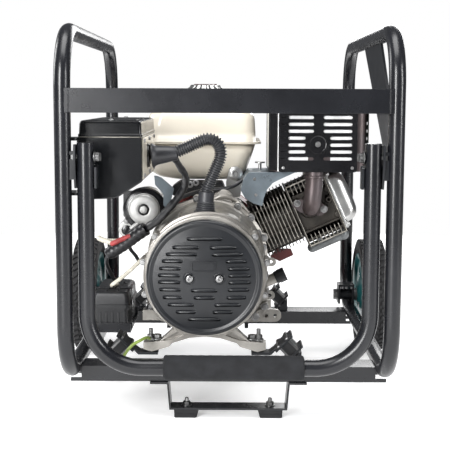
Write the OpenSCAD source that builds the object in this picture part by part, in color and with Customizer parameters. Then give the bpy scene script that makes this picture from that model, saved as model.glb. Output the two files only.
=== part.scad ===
// Engine driven welder: a tube frame on two wheels, with a petrol engine,
// a welding alternator, a control box and a starting battery.
// +Z is up, -Y is the alternator end, +X is the cylinder side. The origin is
// on the ground, at the middle of the whole machine.

/* [Frame] */
// Outside diameter of the frame tube
tube_d = 30; // [28:1:32]
// Wall of the frame tube
tube_wall = 2; // [1.5:0.5:3]
// Distance of each side hoop from the middle plane
hoop_x = 295; // [294:1:297]
// Height of the centre line of the lower frame tube
hoop_low = 104; // [103:1:105]
// Height of the centre line of the upper frame tube
hoop_top = 735; // [725:1:745]
// Radius of the hoop's bends, on the centre line
bend_r = 100; // [90:5:105]
// Height of the front and rear crossbars
bar_h = 43; // [38:1:46]

/* [Wheels] */
// Radius of the tyre
wheel_r = 136; // [134:1:138]
// Width of the tyre
tyre_w = 62; // [56:1:66]
// Diameter of the wheel axle bolt
axle_d = 16; // [14:1:18]

/* [Handle] */
// Distance of each handle arm from the middle plane
arm_x = 255; // [254:1:256]
// Height of the handle's pivot
pivot_z = 510; // [505:1:515]
// Diameter of the foam grip
grip_d = 46; // [40:1:46]
// Length of the foam grip
grip_len = 255; // [220:5:270]

/* [Alternator] */
// Radius of the louvred end cover
cover_r = 110.5; // [108:0.5:112]
// Outside radius of the rotor
rotor_r = 71.4; // [68:0.2:71.6]

/* [Engine] */
// Angle of the cylinder above the horizontal, in degrees
bore_tilt = 24; // [23:0.5:25]
// Cylinder bore diameter
bore_d = 88; // [84:1:90]
// Piston travel
stroke = 64; // [58:1:66]

/* [Conduit] */
// Diameter of the corrugated conduit
conduit_d = 25; // [22:1:27]

/* [Hidden] */
hoop_front = -400;
hoop_rear = 376;
tube_r = tube_d / 2;
bar_z = 588;
rail_top = 105;
rail_h = 30;
rail_w = 60;
front_rail_y = -271;
rear_rail_y = 253;
wheel_y = 287;
wheel_x = 313;
lower_bar_z = 128;
handle_bend = 98;
grip_mid_x = 10;
foot_x = 81;
crank_x = -46;
crank_z = 277;
bore_y = 40;
mount_reach = 162;
mount_z = 138;
alt_front = -292;
alt_rear = -38;
case_rear = 142;
fan_rear = 252;
box_left = -276;
box_right = -160;
box_front = -340;
box_rear = -20;
box_top = 543;
panel_x = -279;
running = 0.05;

// ---------- helpers ----------

// A box between two corners
module box(lo, hi) {
    translate(lo) cube([hi[0] - lo[0], hi[1] - lo[1], hi[2] - lo[2]]);
}

// Round bars along each axis, between two places
module rod_x(d, x0, x1, y, z) {
    translate([x0, y, z]) rotate([0, 90, 0]) cylinder(d = d, h = x1 - x0, $fn = 48);
}
module rod_y(d, y0, y1, x, z) {
    translate([x, y1, z]) rotate([90, 0, 0]) cylinder(d = d, h = y1 - y0, $fn = 48);
}
module rod_z(d, z0, z1, x, y) {
    translate([x, y, z0]) cylinder(d = d, h = z1 - z0, $fn = 48);
}

// A flat outline in (Y, Z), made thick along X
module side_slab(x0, x1) {
    translate([x0, 0, 0]) rotate([90, 0, 90]) linear_extrude(x1 - x0) children();
}

// A flat outline in (X, Z), made thick along Y
module front_slab(y0, y1) {
    translate([0, y1, 0]) rotate([90, 0, 0]) linear_extrude(y1 - y0) children();
}

// A box with its four upright edges rounded
module soft_box(lo, hi, r) {
    box([lo[0] + r, lo[1], lo[2]], [hi[0] - r, hi[1], hi[2]]);
    box([lo[0], lo[1] + r, lo[2]], [hi[0], hi[1] - r, hi[2]]);
    for (x = [lo[0] + r, hi[0] - r], y = [lo[1] + r, hi[1] - r])
        rod_z(2 * r, lo[2], hi[2], x, y);
}

// Children drawn around local +Z come out around the crank axis, facing front
module at_crank(y) {
    translate([crank_x, y, crank_z]) rotate([90, 0, 0]) children();
}

// Children drawn around local +Z come out along the inclined cylinder
module at_bore() {
    translate([crank_x, bore_y, crank_z]) rotate([0, 90 - bore_tilt, 0]) children();
}

// A ring about the crank axis
module crank_ring(y0, y1, outer, inner) {
    at_crank(y1) difference() {
        cylinder(r = outer, h = y1 - y0, $fn = 96);
        translate([0, 0, -1]) cylinder(r = inner, h = y1 - y0 + 2, $fn = 96);
    }
}

// Both sides of the machine
module both_sides() {
    children();
    mirror([1, 0, 0]) children();
}

// A round sweep through hand-set points: one closed mesh with n sides. The
// path never runs along ref, so the sides do not twist
function unit(v) = v / norm(v);
function heading(p, i) = unit(p[min(i + 1, len(p) - 1)] - p[max(i - 1, 0)]);
function sweep_ring(p, i, r, n, ref) =
    let (t = heading(p, i))
    let (side = unit(cross(t, ref)))
    let (up = cross(side, t))
    [for (k = [0 : n - 1]) p[i] + r * (cos(360 * k / n) * side + sin(360 * k / n) * up)];
module sweep(p, d, n, ref) {
    points = [for (i = [0 : len(p) - 1]) each sweep_ring(p, i, d / 2, n, ref)];
    walls = [for (i = [0 : len(p) - 2], k = [0 : n - 1])
        let (k2 = (k + 1) % n)
        [i * n + k, i * n + k2, (i + 1) * n + k2, (i + 1) * n + k]];
    first = [for (k = [n - 1 : -1 : 0]) k];
    last = [for (k = [0 : n - 1]) (len(p) - 1) * n + k];
    polyhedron(points, concat([first, last], walls), convexity = 8);
}

// Points of a smooth curve through the hand-set ones (Catmull-Rom)
function spline_at(a, b, c, d, t) =
    0.5 * (2 * b + (c - a) * t + (2 * a - 5 * b + 4 * c - d) * t * t
        + (3 * b - a - 3 * c + d) * t * t * t);
function smooth(p, steps) = concat(
    [for (i = [0 : len(p) - 2], s = [0 : steps - 1])
        spline_at(p[max(i - 1, 0)], p[i], p[i + 1], p[min(i + 2, len(p) - 1)], s / steps)],
    [p[len(p) - 1]]);

// ---------- frame ----------

// The closed loop of a hoop, as a round bar of diameter d in the YZ plane
module loop_bar(d) {
    y0 = hoop_front + bend_r;
    y1 = hoop_rear - bend_r;
    z0 = hoop_low + bend_r;
    z1 = hoop_top - bend_r;
    for (z = [hoop_low, hoop_top])
        rod_y(d, y0, y1, 0, z);
    for (y = [hoop_front, hoop_rear])
        rod_z(d, z0, z1, 0, y);
    corners = [[y1, z1, 0], [y0, z1, 90], [y0, z0, 180], [y1, z0, 270]];
    for (c = corners)
        translate([0, c[0], c[1]]) rotate([90, 0, 90]) rotate([0, 0, c[2]])
            rotate_extrude(angle = 90, $fn = 96) translate([bend_r, 0]) circle(d = d, $fn = 48);
}

module hoop() {
    difference() {
        loop_bar(tube_d);
        loop_bar(tube_d - 2 * tube_wall);
        // drain hole, underneath
        rod_z(6, hoop_low - tube_d, hoop_low, 0, 150);
    }
}

module left_hoop() {
    color("#1d1e21") translate([-hoop_x, 0, 0]) hoop();
}

module right_hoop() {
    color("#1d1e21") translate([hoop_x, 0, 0]) hoop();
}

// A crossbar of flat rectangular tube, its ends coped around the uprights
module crossbar(y) {
    deep = 14;
    wall = 2.5;
    difference() {
        box([-hoop_x + 5, y - deep, bar_z], [hoop_x - 5, y + deep, bar_z + bar_h]);
        box([-hoop_x, y - deep + wall, bar_z + wall],
            [hoop_x, y + deep - wall, bar_z + bar_h - wall]);
        for (x = [-hoop_x, hoop_x])
            rod_z(tube_d - 0.1, bar_z - 1, bar_z + bar_h + 1, x, y);
    }
}

// A rail of inverted channel, with a tongue under each hoop
module rail(y) {
    steel = 3;
    reach = hoop_x - tube_r + 1.2;
    tongue = 7;
    box([-reach, y - rail_w / 2, rail_top - steel], [reach, y + rail_w / 2, rail_top]);
    for (side = [-rail_w / 2, rail_w / 2 - steel]) {
        box([-reach, y + side, rail_top - rail_h], [reach, y + side + steel, rail_top - 1]);
        box([-hoop_x - 7, y + side, rail_top - rail_h],
            [hoop_x + 7, y + side + steel, rail_top - rail_h + tongue]);
    }
}

module cross_members() {
    color("#26282c") {
        crossbar(hoop_front);
        crossbar(hoop_rear);
        rail(front_rail_y);
        rail(rear_rail_y);
    }
}

// Flat brace from the right hoop's top tube down to its front upright
module side_brace() {
    under = hoop_top - tube_r + 1;
    rear_face = hoop_front + tube_r - 1;
    color("#2a2d31") side_slab(hoop_x - 2.5, hoop_x + 2.5)
        polygon([[54, under], [-190, under], [rear_face, 545], [rear_face, 435]]);
}

// U of flat bar that carries the two feet under the front rail
module foot_bracket() {
    bar = 4;
    half = 20;
    low = 16;
    top = rail_top - rail_h;
    y0 = front_rail_y - half;
    y1 = front_rail_y + half;
    color("#17181a") difference() {
        union() {
            box([-114, y0, low], [114, y1, low + bar]);
            both_sides() {
                front_slab(y0, y1)
                    polygon([[110, low], [114, low], [119, top - bar / 2], [115, top - bar / 2]]);
                box([115, y0 - 16, top - bar], [150, y1 + 16, top]);
            }
        }
        for (x = [-foot_x, foot_x])
            rod_z(8.2, low - 1, low + bar + 1, x, front_rail_y);
    }
}

module rubber_feet() {
    half = 24;
    color("#1b1c1e") for (side = [-1, 1]) {
        x = side * foot_x;
        difference() {
            // square pads, tapered on the inner side
            front_slab(front_rail_y - 20, front_rail_y + 20) polygon([
                [x + side * half, 16], [x + side * (half - 0.5), 0], [x - side * (half - 4), 0],
                [x - side * half, 16]]);
            rod_z(8.1, -1, 20, x, front_rail_y);
        }
    }
}

// Short square brackets that stand on the lower tubes and hold the axle bolts
module axle_brackets() {
    plate = 5;
    y0 = wheel_y - 22;
    y1 = wheel_y + 22;
    z0 = hoop_low + tube_r - 3;
    z1 = wheel_r + 27;
    color("#202226") both_sides() difference() {
        union() {
            box([266, y0, z0], [266 + plate, y1, z1]);
            box([305 - plate, y0, z0], [305, y1, z1]);
            box([266, y0, z1 - plate], [305, y1, z1]);
            rod_x(axle_d + 10, 268, 303, wheel_y, wheel_r);
        }
        rod_x(axle_d, 260, 310, wheel_y, wheel_r);
        translate([hoop_x, 0, 0]) loop_bar(tube_d - 0.1);
    }
}

// Channel that holds each handle arm at the hoop's front upright
module handle_brackets() {
    steel = 4;
    web_y = hoop_front + tube_r + 1;
    inner = arm_x - tube_r - 5;
    outer = arm_x + tube_r + 1;
    stop_z = pivot_z - tube_r - 0.3;
    color("#202226") both_sides() difference() {
        union() {
            box([inner, web_y, pivot_z - 56], [outer + steel, web_y + steel, stop_z]);
            box([inner, web_y - 22, pivot_z - 56], [inner + steel, web_y + steel, pivot_z - 18]);
            side_slab(outer, outer + steel)
                polygon([[web_y + steel, pivot_z - 56], [web_y + steel, pivot_z + 14],
                    [web_y - 10, pivot_z + 22], [web_y - 26, pivot_z + 22],
                    [web_y - 30, pivot_z + 14], [web_y - 30, pivot_z - 20],
                    [web_y - 18, pivot_z - 56]]);
            box([outer, hoop_front - 8, pivot_z - 40], [hoop_x - 7, hoop_front + 8, pivot_z + 10]);
        }
        rod_x(10, outer - 1, outer + 12, hoop_front, pivot_z);
        rod_x(18, outer + steel, outer + 30, hoop_front, pivot_z);
        translate([hoop_x, 0, 0]) loop_bar(tube_d - 0.1);
    }
}

// Bolts that the handle and the wheels turn on, with their heads and nuts
module pivot_bolts() {
    outer = arm_x + tube_r + 1;
    wheel_out = wheel_x + tyre_w;
    color("#a9abaf") both_sides() {
        rod_x(10, arm_x - tube_r - 10, outer + 8.5, hoop_front, pivot_z);
        translate([outer + 4, hoop_front, pivot_z]) rotate([0, 90, 0]) cylinder(d = 17, h = 4.5, $fn = 6);
        translate([arm_x - tube_r - 8.3, hoop_front, pivot_z])
            rotate([0, 90, 0]) cylinder(d = 17, h = 8, $fn = 6);
        rod_x(axle_d, 256, wheel_out + 8, wheel_y, wheel_r);
        translate([256, wheel_y, wheel_r]) rotate([0, 90, 0]) cylinder(d = 26, h = 10, $fn = 6);
        translate([wheel_out + 2.3, wheel_y, wheel_r])
            rotate([0, 90, 0]) cylinder(d = 26, h = 8, $fn = 6);
        rod_x(30, 305.2, wheel_x - 0.3, wheel_y, wheel_r);
    }
}

// U-shaped folding handle, hanging in front of the frame
module handle_bar(d) {
    half = arm_x - handle_bend;
    z0 = lower_bar_z + handle_bend;
    rod_x(d, -half, half, hoop_front, lower_bar_z);
    for (x = [-arm_x, arm_x])
        rod_z(d, z0, pivot_z + 25, x, hoop_front);
    for (c = [[-half, 180], [half, 270]])
        translate([c[0], hoop_front, z0]) rotate([90, 0, 0]) rotate([0, 0, c[1]])
            rotate_extrude(angle = 90, $fn = 96)
                translate([handle_bend, 0]) circle(d = d, $fn = 48);
}

module handle_tube() {
    color("#222428") difference() {
        handle_bar(tube_d);
        intersection() {
            handle_bar(tube_d - 2 * tube_wall);
            box([-400, hoop_front - 40, 0], [400, hoop_front + 40, pivot_z + 24.9]);
        }
        for (x = [-arm_x, arm_x])
            rod_x(10 + 2 * running, x - 20, x + 20, hoop_front, pivot_z);
    }
}

module handle_grip() {
    color("#2c2f33") difference() {
        rod_x(grip_d, grip_mid_x - grip_len / 2, grip_mid_x + grip_len / 2,
            hoop_front, lower_bar_z);
        rod_x(tube_d, grip_mid_x - grip_len, grip_mid_x + grip_len, hoop_front, lower_bar_z);
    }
}

// ---------- wheels ----------

// Pressed disc hub, drawn around local +Z from the inner face outwards
module wheel_hub() {
    rim_r = wheel_r - 35;
    disc_t = 5;
    difference() {
        rotate_extrude($fn = 96) polygon([
            [0, 4], [26, 4], [40, 10], [rim_r - 16, 10], [rim_r - 4, 2], [rim_r, 2],
            [rim_r, tyre_w - 2], [rim_r - 4, tyre_w - 2], [rim_r - 16, tyre_w - 10],
            [40, tyre_w - 10], [26, tyre_w], [0, tyre_w]]);
        // hollow between the two discs
        rotate_extrude($fn = 96) polygon([
            [26, 10 + disc_t], [rim_r - 16, 10 + disc_t], [rim_r - 6, 12], [rim_r - 6, tyre_w - 12],
            [rim_r - 16, tyre_w - 10 - disc_t], [26, tyre_w - 10 - disc_t]]);
        for (a = [0 : 72 : 288])
            rotate([0, 0, a]) translate([60, 0, 0]) cylinder(d = 14, h = tyre_w, $fn = 48);
        translate([0, 0, -1]) cylinder(d = axle_d + 2 * running, h = tyre_w + 4, $fn = 48);
    }
}

// Solid rubber tyre with a rounded tread
module tyre() {
    rim_r = wheel_r - 35;
    w = tyre_w;
    rotate_extrude($fn = 120) polygon([
        [rim_r + 0.1, 5], [rim_r + 8, 3], [wheel_r - 14, 0], [wheel_r - 5, 4], [wheel_r - 1, 14],
        [wheel_r, w / 2], [wheel_r - 1, w - 14], [wheel_r - 5, w - 4], [wheel_r - 14, w],
        [rim_r + 8, w - 3], [rim_r + 0.1, w - 5]]);
}

module on_right_axle() {
    translate([wheel_x, wheel_y, wheel_r]) rotate([0, 90, 0]) children();
}

module right_wheel_hub() {
    color("#0d5a5c") on_right_axle() wheel_hub();
}
module right_tyre() {
    color("#17181a") on_right_axle() tyre();
}
module left_wheel_hub() {
    color("#0d5a5c") mirror([1, 0, 0]) on_right_axle() wheel_hub();
}
module left_tyre() {
    color("#17181a") mirror([1, 0, 0]) on_right_axle() tyre();
}

// ---------- engine mounts ----------

// A place beside the crank axis, turned so that local +Z points out and down
module at_mount(side, y) {
    translate([crank_x + side * mount_reach, y, mount_z]) rotate([0, side * 135, 0]) children();
}
mount_y = [front_rail_y, rear_rail_y];

// Inclined rubber blocks between the engine's arms and the rails
module mount_rubbers() {
    color("#1a1b1d") for (side = [-1, 1], y = mount_y)
        at_mount(side, y) translate([-18, -25, -12]) cube([36, 50, 24]);
}

// Steel plates on both faces of each rubber, with the gussets to the rail
// below and the arms to the cradle or the alternator foot above
module mount_brackets() {
    plate = 4;
    color("#c7c8c6") for (side = [-1, 1], y = mount_y) {
        at_mount(side, y) {
            translate([-22, -27, -12 - plate]) cube([44, 54, plate]);
            translate([-22, -27, 12]) cube([44, 54, plate]);
        }
        // gusset under the outer plate
        x_out = crank_x + side * (mount_reach + 21);
        x_in = crank_x + side * (mount_reach - 1);
        front_slab(y - 24, y + 24) polygon([
            [x_in, rail_top], [x_out + side * 3, rail_top],
            [x_out + side * 3, mount_z - 6], [x_out, mount_z - 6.5],
            [x_in, rail_top + 4.5]]);
        // arm from the inner plate to its seat under the engine's foot
        arm_top = y < 0 ? 128.7 : 130.8;
        arm_low = arm_top - 5;
        a_out = crank_x + side * (mount_reach - 12);
        a_mid = crank_x + side * (mount_reach - 34);
        a_in = crank_x + side * (mount_reach - 72);
        difference() {
            front_slab(y - 16, y + 16) polygon([
                [a_out, mount_z + 9], [a_out - side * 6, mount_z + 3],
                [a_mid, arm_low], [a_in, arm_low], [a_in, arm_top],
                [a_mid - side * 3, arm_top]]);
            rod_z(8.4, arm_low - 1, arm_top + 1, crank_x + side * 104, y);
        }
    }
}

// Plate under the engine, reaching back to the rear mounts
module engine_cradle() {
    z0 = 131;
    z1 = 138;
    color("#55585c") {
        box([crank_x - 100, alt_rear + 8, z0], [crank_x + 106, rear_rail_y - 30, z1]);
        box([crank_x - 122, rear_rail_y - 30, z0], [crank_x + 122, rear_rail_y + 24, z1]);
        for (x = [crank_x - 88, crank_x + 80])
            box([x, alt_rear + 8, z0 - 12], [x + 8, rear_rail_y - 40, z0 + 1]);
    }
}

// ---------- alternator ----------

// Arched aluminium foot bolted under the end bracket
module alternator_foot() {
    y0 = front_rail_y - 13;
    y1 = front_rail_y + 13;
    left = crank_x - 118;
    right = crank_x + 118;
    color("#b9b4a8") difference() {
        front_slab(y0, y1) difference() {
            polygon([[left, 134], [left + 16, 129], [left + 50, 139], [crank_x - 62, 146],
                [crank_x - 30, 156], [crank_x, 159], [crank_x + 30, 156],
                [crank_x + 62, 146], [right - 50, 139], [right - 16, 129], [right, 134],
                [right, 147], [right - 32, 150], [crank_x + 62, 172], [crank_x + 44, 190],
                [crank_x - 44, 190], [crank_x - 62, 172], [left + 32, 150], [left, 147]]);
            translate([crank_x, crank_z]) circle(r = 114.2, $fn = 96);
        }
        for (x = [left + 14, right - 14])
            rod_z(8, 120, 160, x, front_rail_y);
        // lightening pockets on both sides of the middle
        for (side = [-1, 1], y = [y0 - 1, y1 - 8])
            front_slab(y, y + 9) polygon([
                [crank_x + side * 84, 150], [crank_x + side * 52, 168],
                [crank_x + side * 40, 161], [crank_x + side * 66, 152]]);
    }
}

// Housing: end bracket, body and the bell that meets the engine
module alternator_housing() {
    long = alt_rear - alt_front;
    web = long - 16;
    color("#c9c3b4") difference() {
        union() {
            at_crank(alt_rear) difference() {
                rotate_extrude($fn = 120) polygon([
                    [0, 0], [128, 0], [128, 10], [122, 14], [122, 66], [114, 84],
                    [114, long], [0, long]]);
                translate([0, 0, 9]) cylinder(r = 108, h = web - 9, $fn = 96);
                translate([0, 0, web + 8]) cylinder(r = 104, h = 20, $fn = 96);
                translate([0, 0, -1]) cylinder(r = 62, h = 20, $fn = 96);
                for (a = [0 : 60 : 300]) rotate([0, 0, a + 30]) translate([66, 0, web - 1])
                    cylinder(r = 24, h = 12, $fn = 48);
            }
            // posts for the two screws of the cover
            for (x = [-28, 28])
                rod_y(14, alt_front - 4, alt_front + 10, crank_x + x, crank_z + 1);
        }
        rod_y(30 + 2 * running, alt_front - 20, alt_rear, crank_x, crank_z);
        // air slots around the end bracket
        for (a = [20 : 28 : 160])
            at_crank(alt_front + 36) rotate([0, 0, a]) translate([98, -9, 0]) cube([30, 18, 16]);
    }
}

module stator() {
    color("#8b5a2b") crank_ring(-240, -140, 107.9, 72);
}

module rotor() {
    color("#77797c") {
        crank_ring(-240, -140, rotor_r, 15);
        crank_ring(-262, -250, 24, 15);
        crank_ring(-120, -108, 96, 15);
    }
}

// Louvre rows of the end cover: height, half gap in the middle
louvre_rows = [[75, 0], [59, 10], [46, 14], [33, 40], [19, 44], [6, 45], [-7, 45],
    [-21, 44], [-36, 42], [-50, 19], [-64, 16], [-78, 0]];

// Louvred cover over the end bracket, with a raised rim
module alternator_cover() {
    slot = 5;
    color("#33363b") at_crank(alt_front) difference() {
        rotate_extrude($fn = 120) polygon([
            [cover_r - 3, 0], [cover_r, 0], [cover_r, 17], [cover_r - 3, 21], [cover_r - 8, 22],
            [cover_r - 13, 20], [90, 22], [60, 26], [0, 28], [0, 25], [60, 23], [90, 19],
            [cover_r - 12, 17], [cover_r - 5, 18], [cover_r - 3, 15]]);
        for (row = louvre_rows) {
            end = max(31, sqrt(88 * 88 - row[0] * row[0] * 1.18));
            for (side = [-1, 1])
                translate([side > 0 ? row[1] : -end, row[0] - slot / 2, -1])
                    cube([end - row[1], slot, 40]);
        }
        for (row = [[-22, 25], [-36, 20]])
            translate([-row[1], row[0] - slot / 2, -1]) cube([2 * row[1], slot, 40]);
        for (x = [-28, 28])
            translate([x, 1, -1]) cylinder(d = 6.4, h = 40, $fn = 32);
    }
}

// Screws of the cover and studs of the feet and mounts
module studs_and_screws() {
    color("#8f9194") {
        for (x = [-28, 28]) {
            rod_y(6, alt_front - 30, alt_front - 5, crank_x + x, crank_z + 1);
            rod_y(13, alt_front - 33, alt_front - 28.5, crank_x + x, crank_z + 1);
        }
        for (x = [-foot_x, foot_x]) {
            rod_z(8, 3, 34, x, front_rail_y);
            rod_z(20, 20, 21.5, x, front_rail_y);
            translate([x, front_rail_y, 21.5]) cylinder(d = 15, h = 6, $fn = 6);
        }
        for (x = [crank_x - 104, crank_x + 104]) {
            rod_z(8, 122, 172, x, front_rail_y);
            rod_z(20, 150.5, 152.5, x, front_rail_y);
            translate([x, front_rail_y, 152.5]) cylinder(d = 15, h = 8, $fn = 6);
        }
    }
}

// ---------- engine ----------

// Crankcase with its crank chamber, bearing walls and cylinder seat
module crankcase() {
    seat = 110;
    color("#c4bdad") difference() {
        union() {
            front_slab(alt_rear, case_rear) polygon([
                [-150, 138], [66, 138], [78, 160], [78.9, 266.9], [25.2, 387.5],
                [-60, 395], [-120, 372], [-160, 320], [-160, 200]]);
            // mounting ears
            for (y = [alt_rear, 80]) {
                box([60, y, 138], [95, y + 28, 160]);
                box([-186, y, 138], [-150, y + 28, 160]);
            }
            // neck for the dipstick
            translate([70, 20, 208]) rotate([0, 90 - bore_tilt, 0]) cylinder(d = 24, h = 34, $fn = 48);
        }
        at_crank(122) cylinder(r = 60, h = 144, $fn = 96);
        at_bore() cylinder(r = 52, h = seat + 40, $fn = 96);
        rod_y(36 + 2 * running, alt_rear - 1, case_rear + 1, crank_x, crank_z);
        // oil sump below the crank
        box([-120, -20, 150], [50, 118, 230]);
        translate([40, 20, 194.6]) rotate([0, 90 - bore_tilt, 0]) cylinder(d = 14, h = 80, $fn = 48);
        for (x = [78, -170], y = [alt_rear + 14, 94])
            rod_z(10, 130, 170, x, y);
    }
}

// Crankshaft with its throw, and the long shaft that carries the rotor
module crankshaft() {
    throw = stroke / 2;
    color("#a4a6a8") {
        rod_y(30, alt_front - 2, alt_rear, crank_x, crank_z);
        rod_y(36, alt_rear, 9, crank_x, crank_z);
        rod_y(108, 8, 22, crank_x, crank_z);
        rod_y(30, 21, 59, crank_x + throw * cos(bore_tilt), crank_z + throw * sin(bore_tilt));
        rod_y(108, 58, 72, crank_x, crank_z);
        rod_y(36, 71, case_rear + 2, crank_x, crank_z);
        rod_y(25, case_rear + 1, fan_rear - 4, crank_x, crank_z);
    }
}

// Finned cylinder barrel
module cylinder_barrel() {
    bottom = 110.3;
    top = 208;
    fins = 9;
    difference() {
        union() {
            translate([0, 0, bottom]) cylinder(d = 112, h = top - bottom, $fn = 96);
            translate([-58, -50, bottom]) cube([116, 100, 8]);
            for (k = [0 : fins - 1])
                translate([-70, -62, bottom + 18 + k * 9.5]) cube([128, 124, 3.2]);
        }
        translate([0, 0, bottom - 1]) cylinder(d = bore_d + 2 * running, h = 120, $fn = 96);
    }
}
module cylinder_node() {
    color("#5b5648") at_bore() cylinder_barrel();
}

// Piston at mid travel, with its ring grooves and pin hole
module piston() {
    crown = 174;
    color("#b5b7b9") at_bore() difference() {
        translate([0, 0, crown - 48]) cylinder(d = bore_d, h = 48, $fn = 96);
        translate([0, 0, crown - 49]) cylinder(d = bore_d - 12, h = 41, $fn = 96);
        for (z = [6, 12, 18]) translate([0, 0, crown - z]) difference() {
            cylinder(d = bore_d + 2, h = 2, $fn = 96);
            translate([0, 0, -1]) cylinder(d = bore_d - 6, h = 4, $fn = 96);
        }
        translate([0, 60, crown - 30]) rotate([90, 0, 0]) cylinder(d = 20, h = 120, $fn = 48);
    }
}

// Cylinder head: a finned box with an exhaust port in its front face
module cylinder_head() {
    z0 = 208.3;
    z1 = 297;
    color("#4a473f") difference() {
        union() {
            at_bore() translate([-68, -62, z0]) cube([140, 124, z1 - z0]);
            // exhaust port flange, with its two stud bosses
            at_bore() translate([-8, -66, 244]) rotate([-90, 0, 0]) cylinder(d = 46, h = 14, $fn = 48);
            for (p = [[-27, 221], [7, 268]]) at_bore() translate([p[0], -66, p[1]])
                rotate([-90, 0, 0]) cylinder(d = 16, h = 14, $fn = 32);
        }
        // fins at the upper and lower edges of the front face
        at_bore() for (k = [0 : 6], x = [-71, 44])
            translate([x, -63, z0 + 10 + k * 11.5]) cube([26, 80, 6]);
        at_bore() translate([-8, -67, 244]) rotate([-90, 0, 0]) cylinder(d = 30, h = 40, $fn = 48);
        at_bore() translate([0, 0, z0 - 1]) cylinder(d = bore_d, h = 4, $fn = 96);
        // well of the spark plug
        at_bore() translate([73, 10, 236]) rotate([0, -90, 0]) cylinder(d = 14, h = 40, $fn = 48);
    }
}

// Deep-drawn rocker cover on the head
module rocker_cover() {
    z0 = 297.3;
    color("#c9cbcd") at_bore() {
        translate([-66, -56, z0]) cube([134, 112, 3]);
        hull() {
            translate([-56, -46, z0 + 2]) cube([112, 92, 1]);
            translate([-54, -44, z0 + 20]) cube([108, 88, 1]);
            translate([-40, -32, z0 + 34]) cube([80, 64, 1]);
            translate([-26, -20, z0 + 39]) cube([52, 40, 1]);
        }
    }
}

// Sheet metal shroud that leads the cooling air over the cylinder
module cylinder_shroud() {
    color("#7f8fa0") {
        front_slab(-40, -38) polygon([[24, 420], [30, 444], [40, 458], [143, 460], [112, 446],
            [92, 436], [80, 422], [73, 404], [70, 386], [50, 392], [34, 402]]);
        front_slab(-39, 100) polygon([[24, 420], [30, 444], [40, 458], [143, 460],
            [143, 458], [41, 456], [32, 443], [26, 420]]);
    }
}

// Flattened exhaust pipe from the head's port up to the muffler
module exhaust_pipe() {
    bend = [174, -49, 379];
    pipe_d = 38;
    color("#6b625b") {
        // the pipe, and its elbow into the port flange
        translate(bend) rotate([0, 8.5, 0]) translate([0, 0, -18]) cylinder(d = pipe_d, h = 97, $fn = 48);
        translate(bend) rotate([-90, 0, 0]) cylinder(d = 32, h = 20, $fn = 48);
        // clamp flange
        front_slab(-30, -26.2) hull() {
            translate([174, 384]) circle(d = 46, $fn = 32);
            translate([145, 392]) circle(d = 16, $fn = 32);
            translate([202, 380]) circle(d = 16, $fn = 32);
        }
    }
}

// Muffler body behind the guard
module muffler() {
    color("#5d4b47") difference() {
        union() {
            soft_box([84, -50, 461], [290, 96, 590], 22);
            // inlet box over the exhaust pipe
            box([164, -67, 461], [210, -46, 510]);
        }
        soft_box([87, -47, 464], [287, 93, 587], 20);
        box([167, -64, 464], [207, -46, 507]);
        rod_z(28, 455, 470, 186, -50);
        rod_y(22, 90, 100, 250, 560);
    }
    // outlet stub at the rear
    color("#5d4b47") difference() {
        rod_y(26, 95.5, 124, 250, 560);
        rod_y(22, 88, 130, 250, 560);
    }
}

// Guard in front of the muffler, with two columns of slots
module muffler_guard() {
    x0 = 102;
    x1 = 266;
    y0 = -70;
    z0 = 461;
    z1 = 596;
    sheet = 2;
    slot = 6;
    color("#131416") difference() {
        box([x0, y0, z0], [x1, -52, z1]);
        box([x0 + sheet, y0 + sheet, z0 + sheet], [x1 - sheet, -50, z1 - sheet]);
        for (k = [0 : 6]) {
            z = 489 + k * 14.3 - slot / 2;
            near_boss = k > 0 && k < 4;
            box([122, y0 - 1, z], [near_boss ? 158 : 175, y0 + 4, z + slot]);
            box([near_boss ? 209 : 195, y0 - 1, z], [255, y0 + 4, z + slot]);
        }
        rod_y(8, y0 - 2, y0 + 6, 184, 519);
        // notch around the muffler's inlet
        box([162, y0 + sheet, z0 - 1], [212, -50, z0 + sheet + 1]);
    }
    color("#131416") difference() {
        rod_y(40, y0 - 4, y0 + 1, 184, 519);
        rod_y(8, y0 - 5, y0 + 4, 184, 519);
    }
}

// Air cleaner housing behind the muffler
module air_cleaner() {
    color("#1c1d20") difference() {
        union() {
            soft_box([112, 128, 452], [272, 262, 560], 26);
            soft_box([116, 132, 560], [268, 258, 582], 24);
            rod_z(16, 582, 592, 192, 195);
        }
        soft_box([115, 131, 455], [269, 259, 556], 24);
        rod_z(40, 440, 460, 190, 160);
    }
}

// Carburettor between the head's rear port and the air cleaner
module carburettor() {
    color("#9a9c9e") difference() {
        union() {
            box([160, 102.3, 372], [220, 140, 420]);
            rod_z(42, 350, 373, 190, 125);
            rod_z(44, 419, 451.7, 190, 160);
            box([168, 120, 396], [212, 178, 424]);
        }
        rod_z(28, 424, 460, 190, 160);
        rod_x(6 + 2 * running, 214, 230, 122, 396);
    }
}

// Choke lever on the carburettor's outer side
module choke_lever() {
    color("#2b2b2d") {
        rod_x(6, 216, 228, 122, 396);
        side_slab(224, 227) hull() {
            translate([122, 396]) circle(d = 14, $fn = 32);
            translate([150, 372]) circle(d = 9, $fn = 32);
        }
        rod_x(9, 222, 236, 150, 372);
    }
}

// One level of the fuel tank: a rectangle with round corners
module tank_level(z, left, right, front, rear, r, grow) {
    for (x = [left + r, right - r], y = [front + r, rear - r])
        translate([x, y, z]) cylinder(r = r + grow, h = 0.5, $fn = 32);
}

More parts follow.
